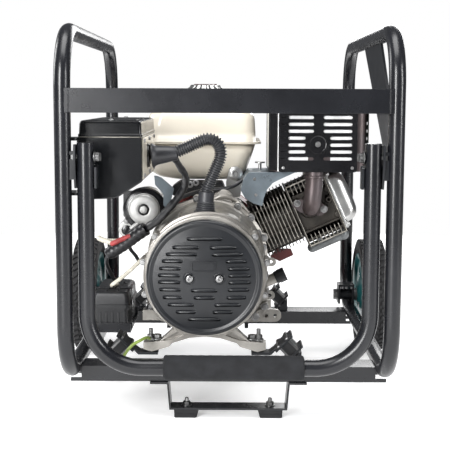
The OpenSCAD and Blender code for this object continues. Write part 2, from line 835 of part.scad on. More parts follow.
// The tank's two pressed halves, grown or shrunk by a wall
module tank_body(grow) {
    hull() {
        tank_level(516, -184, 58, 58, 302, 30, grow);
        tank_level(576, -181, 55, 62, 298, 30, grow);
        tank_level(589 + grow, -165, 39, 78, 282, 24, grow);
    }
    hull() {
        tank_level(515.5, -184, 58, 58, 302, 30, grow);
        tank_level(456, -182, 36, 66, 296, 30, grow);
        tank_level(430 - grow, -140, 24, 90, 270, 20, grow);
    }
}
module fuel_tank() {
    color("#e3dcc8") difference() {
        union() {
            tank_body(0);
            soft_box([-190, 50, 513], [71, 310, 519], 34);
            rod_z(62, 586, 606, -56, 168);
        }
        tank_body(-3);
        rod_z(48, 560, 620, -56, 168);
    }
}

// Twist-off fuel cap over the filler neck
module fuel_cap() {
    color("#c4c4c2") difference() {
        union() {
            rod_z(84, 600, 636, -56, 168);
            rod_z(70, 636, 646, -56, 168);
            for (a = [0 : 30 : 330])
                translate([-56, 168, 600]) rotate([0, 0, a]) translate([41, 0, 0])
                    cylinder(d = 9, h = 34, $fn = 24);
        }
        rod_z(64, 590, 606.4, -56, 168);
    }
}

// Fan housing around the flywheel
module fan_housing() {
    color("#a92a22") difference() {
        union() {
            crank_ring(case_rear + 0.3, fan_rear, 128, 122);
            crank_ring(case_rear + 0.3, case_rear + 5, 124, 34);
            // feet down to the crankcase side
            box([crank_x - 70, case_rear + 0.3, 138], [crank_x + 70, case_rear + 6, 156]);
        }
        for (a = [0 : 60 : 300])
            at_crank(case_rear + 6) rotate([0, 0, a]) translate([70, 0, 0])
                cylinder(d = 30, h = 8, $fn = 48);
    }
}

// Flywheel with its fan blades
module flywheel() {
    color("#8d8f91") {
        crank_ring(160, 196, 112, 12.5);
        for (a = [0 : 24 : 336])
            at_crank(218) rotate([0, 0, a]) translate([66, -1.5, 0]) cube([44, 3, 23]);
        crank_ring(196, 224, 30, 12.5);
    }
}

// Recoil starter cover at the rear, with its air grille
module recoil_cover() {
    color("#a92a22") difference() {
        union() {
            at_crank(fan_rear + 46) difference() {
                rotate_extrude($fn = 96) polygon([
                    [0, 0], [88, 0], [96, 8], [100, 42.7], [128, 42.7], [128, 45.7],
                    [0, 45.7]]);
                translate([0, 0, 4]) cylinder(r = 84, h = 60, $fn = 96);
            }
            // rope guide
            rod_x(26, 4, 60, 275, 356);
        }
        rod_x(12, -30, 80, 275, 356);
        at_crank(fan_rear + 52) for (a = [0 : 30 : 330])
            rotate([0, 0, a]) translate([50, -5, 0]) cube([28, 10, 12]);
    }
}

// Pull grip of the recoil starter, with the stub of its rope
module recoil_grip() {
    color("#202124") {
        difference() {
            translate([74, 275, 326]) cylinder(d = 24, h = 60, $fn = 48);
            rod_x(5, 60, 90, 275, 356);
        }
        rod_x(5, 24, 74, 275, 356);
    }
}

// Starter motor beside the crankcase, with its solenoid
module starter_motor() {
    color("#b9bbbd") {
        rod_y(68, 60, 74, -191, 367);
        rod_y(96, 74, 96, -191, 367);
        rod_y(84, 96, 190, -191, 367);
        rod_y(16, 54, 60, -191, 367);
        rod_y(40, 96, 170, -232, 318);
        box([-226, 110, 318], [-206, 150, 345]);
    }
}

// Spark plug and its cap and elbow, along the head's lower edge
module spark_plug() {
    color("#8b8f92") {
        at_bore() translate([94, 10, 236]) rotate([0, -90, 0]) cylinder(d = 13.9, h = 50, $fn = 48);
        at_bore() translate([86, 10, 214]) cylinder(d = 22, h = 74, $fn = 48);
        at_bore() translate([86, 10, 214]) sphere(d = 22, $fn = 32);
        at_bore() translate([86, 10, 288]) sphere(d = 26, $fn = 32);
    }
}

// Dipstick with its black cap
module dipstick() {
    color("#1c1c1e") translate([70, 20, 208]) rotate([0, 90 - bore_tilt, 0]) {
        translate([0, 0, 34.3]) cylinder(d = 28, h = 22, $fn = 48);
        translate([0, 0, 50]) cube([30, 6, 16], center = true);
        translate([0, 0, -34]) cylinder(d = 6, h = 70, $fn = 32);
    }
}

// ---------- control box ----------

// The box's outline seen from the front, with its sloped lower corner
module box_outline(g) {
    polygon([[box_left + g, box_top], [box_right - g, box_top], [box_right - g, 461 + 0.5 * g],
        [-208 - 0.5 * g, 430 + g], [-262 + g, 428 + g], [box_left + g, 440 + g]]);
}
module control_box() {
    sheet = 2.5;
    color("#1f2124") difference() {
        union() {
            front_slab(box_front, box_rear) box_outline(0);
            // tabs to the hoop's front upright
            for (z = [440, 538])
                box([-290, hoop_front + 11, z], [-272, box_front + 6, z + 5]);
            rod_x(46, box_right - 3, box_right + 5, -215, 503);
        }
        translate([0, 0, 1]) front_slab(box_front + sheet, box_rear - sheet) box_outline(sheet);
        rod_x(36, box_right - 10, box_right + 10, -215, 503);
        // window behind the panel
        box([box_left - 1, -325, 452], [box_left + 4, -35, 532]);
    }
}

// Lid with a folded rim
module control_lid() {
    color("#232528") difference() {
        soft_box([box_left, box_front - 1, box_top + 0.2], [box_right, box_rear + 1, 573], 4);
        box([box_left + 3, box_front + 2, box_top - 1], [box_right - 3, box_rear - 2, 570]);
    }
}

// Panel on the outer side, with the outlet's frame
module control_panel() {
    out = panel_x;
    color("#3a3d41") difference() {
        union() {
            box([out, -332, 446], [box_left - 0.2, -28, 538]);
            box([out - 6, -132, 468], [out, -78, 520]);
        }
        for (y = [-290, -240])
            rod_x(24, out - 2, box_left + 1, y, 478);
        rod_x(8 + 2 * running, out - 2, box_left + 1, -185, 506);
        rod_x(12 + 2 * running, out - 2, box_left + 1, -185, 462);
        box([out - 1, -160, 482], [box_left + 1, -148, 506]);
        rod_x(36, out - 8, box_left + 1, -105, 493);
    }
}

// Two round twist-lock sockets for the welding leads
module weld_sockets() {
    color("#2a2a2c") for (y = [-290, -240]) difference() {
        union() {
            rod_x(40, panel_x - 12, panel_x, y, 478);
            rod_x(23.8, panel_x - 1, panel_x + 16, y, 478);
        }
        rod_x(13.2, panel_x - 13, panel_x + 12, y, 478);
    }
}

// Flap over the mains outlet, hinged at its upper edge
module outlet_flap() {
    color("#1d4e89") {
        box([panel_x - 10, -130, 470], [panel_x - 6.3, -80, 519]);
        rod_y(6, -128, -82, panel_x - 9.6, 522.2);
        box([panel_x - 10, -120, 517], [panel_x - 8, -90, 521]);
    }
}

module current_knob() {
    color("#151517") {
        rod_x(8, panel_x - 10, panel_x + 12, -185, 506);
        difference() {
            rod_x(38, panel_x - 22, panel_x - 0.4, -185, 506);
            box([panel_x - 23, -187, 518], [panel_x - 20, -183, 530]);
        }
    }
}

module key_switch() {
    color("#9fa1a3") {
        rod_x(12, panel_x - 10, panel_x + 12, -185, 462);
        box([panel_x - 24, -186.5, 453], [panel_x - 9, -183.5, 471]);
    }
}

// Toggle of the circuit breaker, turning about a pin behind the panel
module breaker_lever() {
    color("#d8d8d4") {
        rod_y(9, -159, -149, box_left + 6, 494);
        box([panel_x - 9, -158, 496], [box_left + 6, -150, 500]);
    }
}

// ---------- conduit and wiring ----------

conduit_path = [[-118, -215, 507], [-96, -216, 514], [-74, -218, 523], [-56, -220, 531],
    [-42, -221, 535], [-29, -221, 532], [-20, -220, 522], [-17, -219, 508], [-20, -218, 493],
    [-27, -216, 476], [-35, -215, 458], [-42, -214, 442], [-46, -213, 428]];

// Corrugated conduit with a boot at the box and a boot on the alternator
module conduit_hose() {
    color("#1b1c1e") {
        sweep(smooth(conduit_path, 3), conduit_d, 12, [0, 1, 0]);
        // tapered boot on the box
        translate([-152.3, -215, 503]) rotate([0, 85, 0]) cylinder(r1 = 23.5, r2 = 13.2, h = 40, $fn = 48);
        // boot and flange on the alternator's top
        rod_z(32, 392, 430, -47, -213);
    }
}

harness_path = [[-110, -207, 496], [-98, -196, 480], [-91, -180, 458], [-92, -166, 436],
    [-110, -152, 404], [-138, -140, 384], [-168, -110, 362], [-190, -60, 344],
    [-206, 0, 322], [-216, 60, 312], [-222, 84, 314]];
battery_lead = [[-238, 30, 212], [-232, 24, 226], [-215, 10, 240], [-190, 8, 262],
    [-180, 20, 286], [-186, 60, 300], [-208, 84, 304]];
earth_path = [[-206, -330, 112], [-196, -336, 122], [-186, -338, 138], [-172, -334, 152],
    [-160, -322, 160], [-152, -300, 160], [-150, -282, 153.5]];

// Starter harness, battery lead and the earth strap
module wiring() {
    color("#232427") sweep(smooth(harness_path, 3), 16, 10, [1, 0, 0]);
    color("#d9d2bd") sweep(smooth(battery_lead, 3), 9, 8, [1, 0, 0]);
    color("#8fae3a") sweep(smooth(earth_path, 3), 5, 8, [1, 0, 0]);
}

// ---------- battery ----------

// Tray bent over the left lower tube
module battery_tray() {
    color("#202226") {
        box([-292, -78, 119.2], [-208, 100, 122.2]);
        box([-279.5, -78, 86], [-276.5, 100, 120]);
        for (y = [-78, 96]) box([-292, y, 119.2], [-208, y + 4, 140]);
    }
}
module battery_box() {
    color("#202124") difference() {
        soft_box([-287, -73, 122.5], [-214, 95, 170], 6);
        soft_box([-284, -70, 125.5], [-217, 92, 171], 5);
    }
}
module battery() {
    color("#2f3033") {
        box([-282, -66, 125.8], [-219, 88, 196]);
        for (y = [-50, 72]) rod_z(14, 196, 203, -250, y);
    }
}
module battery_lid() {
    color("#26272a") difference() {
        union() {
            soft_box([-291, -77, 170.3], [-210, 99, 208], 8);
            rod_z(22, 207, 212, -238, 30);
        }
        soft_box([-288, -74, 169], [-213, 96, 205], 7);
        rod_z(10, 200, 220, -238, 30);
        box([-270, -79, 186], [-225, -75.5, 190]);
    }
}

left_hoop();
right_hoop();
cross_members();
side_brace();
foot_bracket();
rubber_feet();
axle_brackets();
handle_brackets();
pivot_bolts();
handle_tube();
handle_grip();
left_wheel_hub();
left_tyre();
right_wheel_hub();
right_tyre();
mount_brackets();
mount_rubbers();
engine_cradle();
alternator_foot();
alternator_housing();
stator();
rotor();
alternator_cover();
studs_and_screws();
crankcase();
crankshaft();
cylinder_node();  // cylinder
piston();
cylinder_head();
rocker_cover();
cylinder_shroud();
exhaust_pipe();
muffler();
muffler_guard();
air_cleaner();
carburettor();
choke_lever();
fuel_tank();
fuel_cap();
fan_housing();
flywheel();
recoil_cover();
recoil_grip();
starter_motor();
spark_plug();
dipstick();
control_box();
control_lid();
control_panel();
weld_sockets();
outlet_flap();
current_knob();
key_switch();
breaker_lever();
conduit_hose();
wiring();
battery_tray();
battery_box();
battery_lid();
battery();
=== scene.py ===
import math

import bpy
import bmesh
from mathutils import Matrix, Vector
from mathutils.geometry import delaunay_2d_cdt


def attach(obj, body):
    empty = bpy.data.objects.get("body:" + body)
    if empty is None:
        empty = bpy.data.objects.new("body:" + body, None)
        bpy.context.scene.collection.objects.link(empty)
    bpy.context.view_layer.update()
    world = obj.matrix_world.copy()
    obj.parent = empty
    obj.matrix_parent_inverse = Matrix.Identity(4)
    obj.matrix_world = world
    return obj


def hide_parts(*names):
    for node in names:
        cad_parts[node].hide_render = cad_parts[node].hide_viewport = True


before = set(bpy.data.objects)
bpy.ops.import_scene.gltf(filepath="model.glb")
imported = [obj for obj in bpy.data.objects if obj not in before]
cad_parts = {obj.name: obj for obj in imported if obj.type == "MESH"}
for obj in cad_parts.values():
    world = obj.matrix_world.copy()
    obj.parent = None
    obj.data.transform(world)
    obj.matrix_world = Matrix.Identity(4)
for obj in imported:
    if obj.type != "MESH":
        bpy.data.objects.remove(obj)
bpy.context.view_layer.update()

# Engine driven welder. Sizes below are millimetres in the CAD frame: X to the right
# as seen from the alternator's end, Y towards the wheels, Z up.
MM = 0.001
X, Y, Z = Vector((1, 0, 0)), Vector((0, 1, 0)), Vector((0, 0, 1))

# Places that several pieces share
CRANK = (-46, 277)              # X and Z of the crankshaft
BORE = Matrix.Translation((-46, 40, 277)) @ Matrix.Rotation(math.radians(66), 4, "Y")
COVER_BACK = -292               # Y of the end cover's back
WHEEL = (313, 287, 136)         # inner face of the right wheel, on its axle
FRONT_RAIL, REAR_RAIL = -271, 253    # Y of the rails' middles
FOOT_X = 81
HANDLE_Y = -400                 # Y of the folded handle and of the front crossbar
GUARD_FACE = -69.6              # Y of the muffler guard's front
GUARD_KNOB = (184, 519)         # X and Z of the dish in the guard
CAP = (-56, 168)                # X and Y of the fuel cap
STARTER = (-191, 367)           # X and Z of the starter motor
SOLENOID = (-232, 318)          # X and Z of the starter's solenoid
BOX_MIDDLE = (-218, 490)        # X and Z inside the control box
BOX_SIDE = -279                 # X of the control panel's outer face
DIAL = (-185, 506)              # Y and Z of the current knob


# ---------- camera, light and floor ----------

# name, place, width and height in metres, and power in watts
LIGHTS = (("key", (-1.35, -3.0, 1.3), 0.75, 2.4, 160), ("side", (2.9, -1.9, 1.3), 0.4, 2.0, 70),
          ("top", (0.0, -0.6, 3.0), 2.0, 2.0, 80), ("rear", (1.0, 3.2, 1.8), 1.6, 1.6, 60),
          ("far side", (-3.0, 1.2, 1.6), 1.2, 1.8, 55))
MIDDLE = Vector((0, 0, 0.35))
FILL_LIGHT = 0.16
FLOOR_GLOW = 0.35
CAMERA = (4.8, -2260.7, 615.0)


def make_camera():
    """The camera stands in front of the alternator, a little above the crossbar's middle."""
    tilt, roll, yaw = 0.1207, 0.0038, -0.0063
    level = Vector((math.cos(yaw), -math.sin(yaw), 0))
    ahead = Vector((math.sin(yaw) * math.cos(tilt), math.cos(yaw) * math.cos(tilt), -math.sin(tilt)))
    down = Vector((-math.sin(yaw) * math.sin(tilt), -math.cos(yaw) * math.sin(tilt), -math.cos(tilt)))
    right = level * math.cos(roll) - down * math.sin(roll)
    up = -(level * math.sin(roll) + down * math.cos(roll))
    pose = Matrix((right, up, -ahead)).transposed().to_4x4()
    pose.translation = Vector(CAMERA) * MM
    data = bpy.data.cameras.new("camera")
    data.lens = 84
    data.sensor_width = 36
    cam = bpy.data.objects.new("camera", data)
    cam.matrix_world = pose
    bpy.context.scene.collection.objects.link(cam)
    bpy.context.scene.camera = cam


def area_light(name, place, width, height, power):
    """A soft box that faces the middle of the machine; places and sizes in metres."""
    data = bpy.data.lights.new(name, "AREA")
    data.shape = "RECTANGLE"
    data.size = width
    data.size_y = height
    data.energy = power
    light = bpy.data.objects.new(name, data)
    light.location = place
    light.rotation_euler = (MIDDLE - Vector(place)).to_track_quat("-Z", "Y").to_euler()
    bpy.context.scene.collection.objects.link(light)


def make_studio():
    """A surround that looks white but lights little, soft boxes and a floor."""
    bpy.context.scene.view_settings.view_transform = "Standard"
    world = bpy.data.worlds.new("studio")
    bpy.context.scene.world = world
    world.use_nodes = True
    nodes, links = world.node_tree.nodes, world.node_tree.links
    nodes.clear()
    out = nodes.new("ShaderNodeOutputWorld")
    mix = nodes.new("ShaderNodeMixShader")
    path = nodes.new("ShaderNodeLightPath")
    fill = nodes.new("ShaderNodeBackground")
    fill.inputs["Color"].default_value = (0.93, 0.95, 1.0, 1)
    fill.inputs["Strength"].default_value = FILL_LIGHT
    white = nodes.new("ShaderNodeBackground")
    white.inputs["Color"].default_value = (1, 1, 1, 1)
    white.inputs["Strength"].default_value = 1.0
    links.new(path.outputs["Is Camera Ray"], mix.inputs["Fac"])
    links.new(fill.outputs[0], mix.inputs[1])
    links.new(white.outputs[0], mix.inputs[2])
    links.new(mix.outputs[0], out.inputs["Surface"])
    for light in LIGHTS:
        area_light(*light)
    make_floor()


def make_floor():
    """A plain pale disc that glows a little, so that it meets the surround without an edge."""
    bm = bmesh.new()
    bmesh.ops.create_circle(bm, cap_ends=True, segments=96, radius=2.6)
    data = bpy.data.meshes.new("floor")
    bm.to_mesh(data)
    bm.free()
    floor = bpy.data.objects.new("floor", data)
    bpy.context.scene.collection.objects.link(floor)
    finish = material("floor", (0.9, 0.9, 0.9), 0.75, vary=0.01, bump=0.0)
    shader = finish.node_tree.nodes["Principled BSDF"]
    shader.inputs["Emission Color"].default_value = (1, 1, 1, 1)
    shader.inputs["Emission Strength"].default_value = FLOOR_GLOW
    data.materials.append(finish)


# ---------- materials ----------

def material(name, rgb, rough, metal=0.0, vary=0.12, scale=18.0, rough_vary=0.08,
             bump=0.15, bump_scale=900.0, coat=0.0, stain=None, stain_amount=0.0, spec=0.5):
    """A procedural finish: mottled colour, uneven roughness, a fine grain and, with stain,
    a second colour in patches."""
    mat = bpy.data.materials.new(name)
    mat.use_nodes = True
    nodes, links = mat.node_tree.nodes, mat.node_tree.links
    shader = nodes["Principled BSDF"]
    shader.inputs["Metallic"].default_value = metal
    shader.inputs["Specular IOR Level"].default_value = spec
    shader.inputs["Coat Weight"].default_value = coat
    shader.inputs["Coat Roughness"].default_value = 0.12
    place = nodes.new("ShaderNodeTexCoord")
    mottle = nodes.new("ShaderNodeTexNoise")
    mottle.inputs["Scale"].default_value = scale
    mottle.inputs["Detail"].default_value = 5.0
    mottle.inputs["Roughness"].default_value = 0.6
    links.new(place.outputs["Object"], mottle.inputs["Vector"])
    ramp = nodes.new("ShaderNodeValToRGB")
    ramp.color_ramp.elements[0].position = 0.32
    ramp.color_ramp.elements[1].position = 0.70
    ramp.color_ramp.elements[0].color = [c * (1 - vary) for c in rgb] + [1]
    ramp.color_ramp.elements[1].color = [min(1, c * (1 + vary)) for c in rgb] + [1]
    links.new(mottle.outputs["Fac"], ramp.inputs["Fac"])
    colour = ramp.outputs["Color"]
    if stain:
        patch = nodes.new("ShaderNodeTexNoise")
        patch.inputs["Scale"].default_value = scale * 0.6
        patch.inputs["Detail"].default_value = 6.0
        links.new(place.outputs["Object"], patch.inputs["Vector"])
        reach = nodes.new("ShaderNodeMapRange")
        reach.inputs["From Min"].default_value = 0.45
        reach.inputs["From Max"].default_value = 0.68
        reach.inputs["To Max"].default_value = stain_amount
        links.new(patch.outputs["Fac"], reach.inputs["Value"])
        blend = nodes.new("ShaderNodeMix")
        blend.data_type = "RGBA"
        links.new(reach.outputs["Result"], blend.inputs["Factor"])
        links.new(colour, blend.inputs["A"])
        blend.inputs["B"].default_value = list(stain) + [1]
        colour = blend.outputs["Result"]
    links.new(colour, shader.inputs["Base Color"])
    gloss = nodes.new("ShaderNodeMapRange")
    gloss.inputs["To Min"].default_value = max(0.03, rough - rough_vary)
    gloss.inputs["To Max"].default_value = min(1.0, rough + rough_vary)
    links.new(mottle.outputs["Fac"], gloss.inputs["Value"])
    links.new(gloss.outputs["Result"], shader.inputs["Roughness"])
    if bump > 0:
        grain = nodes.new("ShaderNodeTexNoise")
        grain.inputs["Scale"].default_value = bump_scale
        grain.inputs["Detail"].default_value = 3.0
        links.new(place.outputs["Object"], grain.inputs["Vector"])
        relief = nodes.new("ShaderNodeBump")
        relief.inputs["Strength"].default_value = bump
        relief.inputs["Distance"].default_value = 0.0004
        links.new(grain.outputs["Fac"], relief.inputs["Height"])
        links.new(relief.outputs["Normal"], shader.inputs["Normal"])
    return mat


LOOKS = {
    "frame_paint": dict(rgb=(0.0065, 0.007, 0.009), rough=0.27, vary=0.25, scale=9, bump=0.02,
                        bump_scale=300, spec=0.45),
    "bracket_steel": dict(rgb=(0.010, 0.011, 0.013), rough=0.40, vary=0.25, bump=0.08, bump_scale=600,
                          spec=0.25),
    "bright_steel": dict(rgb=(0.30, 0.30, 0.30), rough=0.36, metal=1.0, vary=0.2, scale=60,
                         stain=(0.10, 0.095, 0.09), stain_amount=0.6),
    "foot_rubber": dict(rgb=(0.010, 0.010, 0.011), rough=0.7, vary=0.3, bump=0.3, bump_scale=700, spec=0.3),
    "foam": dict(rgb=(0.012, 0.0125, 0.014), rough=0.85, vary=0.35, scale=40, bump=0.9, bump_scale=380,
                 spec=0.25),
    "wheel_disc": dict(rgb=(0.006, 0.095, 0.100), rough=0.32, vary=0.2, scale=14, coat=0.2),
    "tyre": dict(rgb=(0.012, 0.012, 0.013), rough=0.72, vary=0.3, bump=0.5, bump_scale=300, spec=0.35),
    "casting": dict(rgb=(0.34, 0.325, 0.30), rough=0.38, metal=0.7, vary=0.14, scale=26, bump=0.7,
                    bump_scale=420, stain=(0.11, 0.10, 0.088), stain_amount=0.65),
    "casting_dark": dict(rgb=(0.032, 0.028, 0.023), rough=0.42, metal=0.5, vary=0.4, scale=30,
                         bump=0.5, bump_scale=450, stain=(0.022, 0.018, 0.015), stain_amount=0.6),
    "copper_iron": dict(rgb=(0.28, 0.15, 0.07), rough=0.42, metal=0.5, vary=0.3, scale=80),
    "cover_paint": dict(rgb=(0.0065, 0.0075, 0.0095), rough=0.33, vary=0.2, scale=14, bump=0.3,
                        bump_scale=800, spec=0.4),
    "machined": dict(rgb=(0.25, 0.25, 0.25), rough=0.28, metal=1.0, vary=0.1, scale=60),
    "piston_metal": dict(rgb=(0.62, 0.62, 0.62), rough=0.3, metal=1.0, vary=0.1, scale=60),
    "pressed_metal": dict(rgb=(0.40, 0.40, 0.395), rough=0.32, metal=1.0, vary=0.10, scale=25,
                          bump=0.15, bump_scale=700, stain=(0.17, 0.16, 0.145), stain_amount=0.5),
    "shroud_paint": dict(rgb=(0.21, 0.25, 0.28), rough=0.30, metal=0.7, vary=0.2, scale=16,
                         bump=0.15, stain=(0.07, 0.082, 0.092), stain_amount=0.5),
    "exhaust_metal": dict(rgb=(0.075, 0.058, 0.058), rough=0.38, metal=0.6, vary=0.25, scale=16,
                          bump=0.25, stain=(0.10, 0.095, 0.105), stain_amount=0.6),
    "black_paint": dict(rgb=(0.0045, 0.0045, 0.0055), rough=0.22, vary=0.2, scale=14, spec=0.45),
    "black_plastic": dict(rgb=(0.010, 0.0105, 0.012), rough=0.40, vary=0.25, scale=20, bump=0.35,
                          bump_scale=900, spec=0.4),
    "tank_paint": dict(rgb=(0.72, 0.665, 0.565), rough=0.24, vary=0.04, scale=6, bump=0.0, coat=0.4,
                       stain=(0.60, 0.545, 0.45), stain_amount=0.4),
    "fan_paint": dict(rgb=(0.20, 0.013, 0.010), rough=0.32, vary=0.12, scale=10, coat=0.3),
    "plug_metal": dict(rgb=(0.15, 0.16, 0.165), rough=0.42, metal=0.35, vary=0.2, scale=50,
                       stain=(0.07, 0.07, 0.065), stain_amount=0.6),
    "box_paint": dict(rgb=(0.0045, 0.005, 0.006), rough=0.20, vary=0.25, scale=9, bump=0.12,
                      bump_scale=500, spec=0.45),
    "flap_plastic": dict(rgb=(0.02, 0.09, 0.26), rough=0.35, vary=0.1, scale=30),
    "light_plastic": dict(rgb=(0.66, 0.65, 0.60), rough=0.38, vary=0.06, scale=40),
    "conduit_plastic": dict(rgb=(0.024, 0.025, 0.029), rough=0.42, vary=0.25, scale=40, bump=0.1),
    "cable": dict(rgb=(0.009, 0.009, 0.011), rough=0.36, vary=0.35, scale=50, bump=0.25,
                  bump_scale=600),
}
EXTRA_LOOKS = {
    # near-white finish of the screen behind the guard's slots: aluminised steel, brightened as painted sheen
    "aluminised_sheen": dict(rgb=(0.86, 0.86, 0.86), rough=0.42, metal=0.25, vary=0.15, scale=40),
    "red_sleeve": dict(rgb=(0.30, 0.04, 0.04), rough=0.5, vary=0.3, scale=60),
    "starter_metal": dict(rgb=(0.46, 0.46, 0.45), rough=0.44, metal=0.55, vary=0.12, scale=50,
                          stain=(0.34, 0.335, 0.32), stain_amount=0.5),
    "dark_steel": dict(rgb=(0.13, 0.13, 0.13), rough=0.36, metal=1.0, vary=0.2, scale=60),
    "cream_wire": dict(rgb=(0.55, 0.52, 0.44), rough=0.5, vary=0.2, scale=60),
    "earth_wire": dict(rgb=(0.16, 0.22, 0.04), rough=0.45, vary=0.3, scale=30),
    "copper": dict(rgb=(0.55, 0.28, 0.12), rough=0.3, metal=1.0, vary=0.1, scale=60),
    "dark_red": dict(rgb=(0.07, 0.008, 0.008), rough=0.45, vary=0.3, scale=30),
    # bright finish of the strips painted as highlights on fin, plate and lid edges
    "painted_edge_highlight": dict(rgb=(0.38, 0.36, 0.32), rough=0.34, metal=0.8, vary=0.3, scale=60,
                     stain=(0.15, 0.14, 0.12), stain_amount=0.6),
}
MATERIALS = {}


def look(name):
    if name not in MATERIALS:
        facts = LOOKS.get(name) or EXTRA_LOOKS[name]
        MATERIALS[name] = material(name, **facts)
    return MATERIALS[name]


# ---------- shapes ----------

def arc(cx, cy, r, start, end, steps):
    """Points of an arc in a plane, angles in degrees."""
    points = []
    for k in range(steps + 1):
        a = math.radians(start + (end - start) * k / steps)
        points.append((cx + r * math.cos(a), cy + r * math.sin(a)))
    return points


def round_rect(x0, x1, y0, y1, r, steps=6):
    """A rectangle with round corners, anticlockwise."""
    r = min(r, (x1 - x0) / 2 - 0.01, (y1 - y0) / 2 - 0.01)
    points = arc(x1 - r, y1 - r, r, 0, 90, steps) + arc(x0 + r, y1 - r, r, 90, 180, steps)
    points += arc(x0 + r, y0 + r, r, 180, 270, steps) + arc(x1 - r, y0 + r, r, 270, 360, steps)
    return points


def round_corners(points, r, steps=5):
    """An outline with each corner rounded; r is one radius or one for each corner."""
    out = []
    count = len(points)
    for i in range(count):
        radius = r[i] if isinstance(r, (list, tuple)) else r
        here = Vector(points[i])
        before = Vector(points[i - 1]) - here
        after = Vector(points[(i + 1) % count]) - here
        if radius <= 0:
            out.append(tuple(here))
            continue
        half = before.angle(after) / 2
        cut = min(radius / math.tan(half), before.length * 0.49, after.length * 0.49)
        p, q = here + before.normalized() * cut, here + after.normalized() * cut
        for k in range(steps + 1):
            t = k / steps
            out.append(tuple((1 - t) ** 2 * p + 2 * t * (1 - t) * here + t * t * q))
    return out


def smooth_path(points, steps):
    """A Catmull-Rom curve through given points."""
    pts = [Vector(p) for p in points]
    out = []
    for i in range(len(pts) - 1):
        a, b = pts[max(i - 1, 0)], pts[i]
        c, d = pts[i + 1], pts[min(i + 2, len(pts) - 1)]
        for k in range(steps):
            t = k / steps
            out.append(0.5 * (2 * b + (c - a) * t + (2 * a - 5 * b + 4 * c - d) * t * t
                              + (3 * b - a - 3 * c + d) * t ** 3))
    return out + [pts[-1]]


def even_path(points, step):
    """The same path with points every step millimetres."""
    out, gone = [points[0]], 0.0
    for a, b in zip(points, points[1:]):
        length = (b - a).length
        while gone + length >= step:
            t = (step - gone) / length
            a = a.lerp(b, t)
            out.append(a)
            length = (b - a).length
            gone = 0.0
        gone += length
    return out


def fill_outline(outer, holes=(), extra=()):
    """Triangles over an outline with holes; extra points go inside."""
    rings = [outer] + list(holes)
    points, edges = [], []
    for ring in rings:
        start = len(points)
        points += [Vector(p[:2]) for p in ring]
        edges += [(start + i, start + (i + 1) % len(ring)) for i in range(len(ring))]
    points += [Vector(p[:2]) for p in extra]
    verts, _, faces, *_ = delaunay_2d_cdt(points, edges, [], 0, 1e-5)

    def inside(p, ring):
        hit = False
        j = len(ring) - 1
        for i in range(len(ring)):
            xi, yi = ring[i][0], ring[i][1]
            xj, yj = ring[j][0], ring[j][1]
            if (yi > p[1]) != (yj > p[1]) and p[0] < (xj - xi) * (p[1] - yi) / (yj - yi) + xi:
                hit = not hit
            j = i
        return hit

    kept = []
    for face in faces:
        middle = sum((verts[i] for i in face), Vector((0, 0))) / len(face)
        if inside(middle, outer) and not any(inside(middle, h) for h in holes):
            kept.append(face)
    return verts, kept


def frame_at(origin, toward, side=None):
    """A matrix whose local Z is toward, and local X as near side as it can be."""
    w = Vector(toward).normalized()
    hint = Vector(side) if side is not None else (X if abs(w.x) < 0.9 else Y)
    u = (hint - w * hint.dot(w)).normalized()
    v = w.cross(u)
    m = Matrix((u, v, w)).transposed().to_4x4()
    m.translation = Vector(origin)
    return m


def to_xz(y):
    """Plane of constant Y: (a, b) is (X, Z)."""
    return lambda a, b, c: Vector((a, y + c, b))


def to_yz(x, way=1):
    """Plane of constant X: (a, b) is (Y, Z), and the offset goes along way."""
    return lambda a, b, c: Vector((x + way * c, a, b))


def to_xy(z):
    """Plane of constant Z: (a, b) is (X, Y)."""
    return lambda a, b, c: Vector((a, b, z + c))


def bore_put(height):
    """Plane across the cylinder's bore, at a height along it."""
    return lambda a, b, c: BORE @ Vector((a, b, height + c))


def flat_ring(z, x0, x1, y0, y1, r, steps=6):
    """A level rectangle with round corners, as one ring of a loft."""
    return [Vector((a, b, z)) for a, b in round_rect(x0, x1, y0, y1, r, steps)]


def circle_points(radii, count, turn):
    """Points on circles round the origin, to keep a domed plate's triangles even."""
    return [(r * math.cos(a), r * math.sin(a)) for r in radii
            for a in (2 * math.pi * (k + turn) / count for k in range(count))]


def crank_axis(y):
    """Local Z faces the front, along the crankshaft."""
    return frame_at((CRANK[0], y, CRANK[1]), -Y, X)


def fan_axis(y):
    """Local Z faces the rear, along the crankshaft."""
    return frame_at((CRANK[0], y, CRANK[1]), Y)


def ring_spot(radius, angle, y):
    """A place at an angle round the crankshaft."""
    a = math.radians(angle)
    return Vector((CRANK[0] + radius * math.cos(a), y, CRANK[1] + radius * math.sin(a)))


def outward(angle):
    """The direction away from the crankshaft at an angle."""
    return ring_spot(1, angle, 0) - ring_spot(0, 0, 0)


def capsule(u0, u1, v, high, steps=6):
    """A slot's outline with round ends."""
    r = high / 2
    return arc(u1 - r, v, r, -90, 90, steps) + arc(u0 + r, v, r, 90, 270, steps)


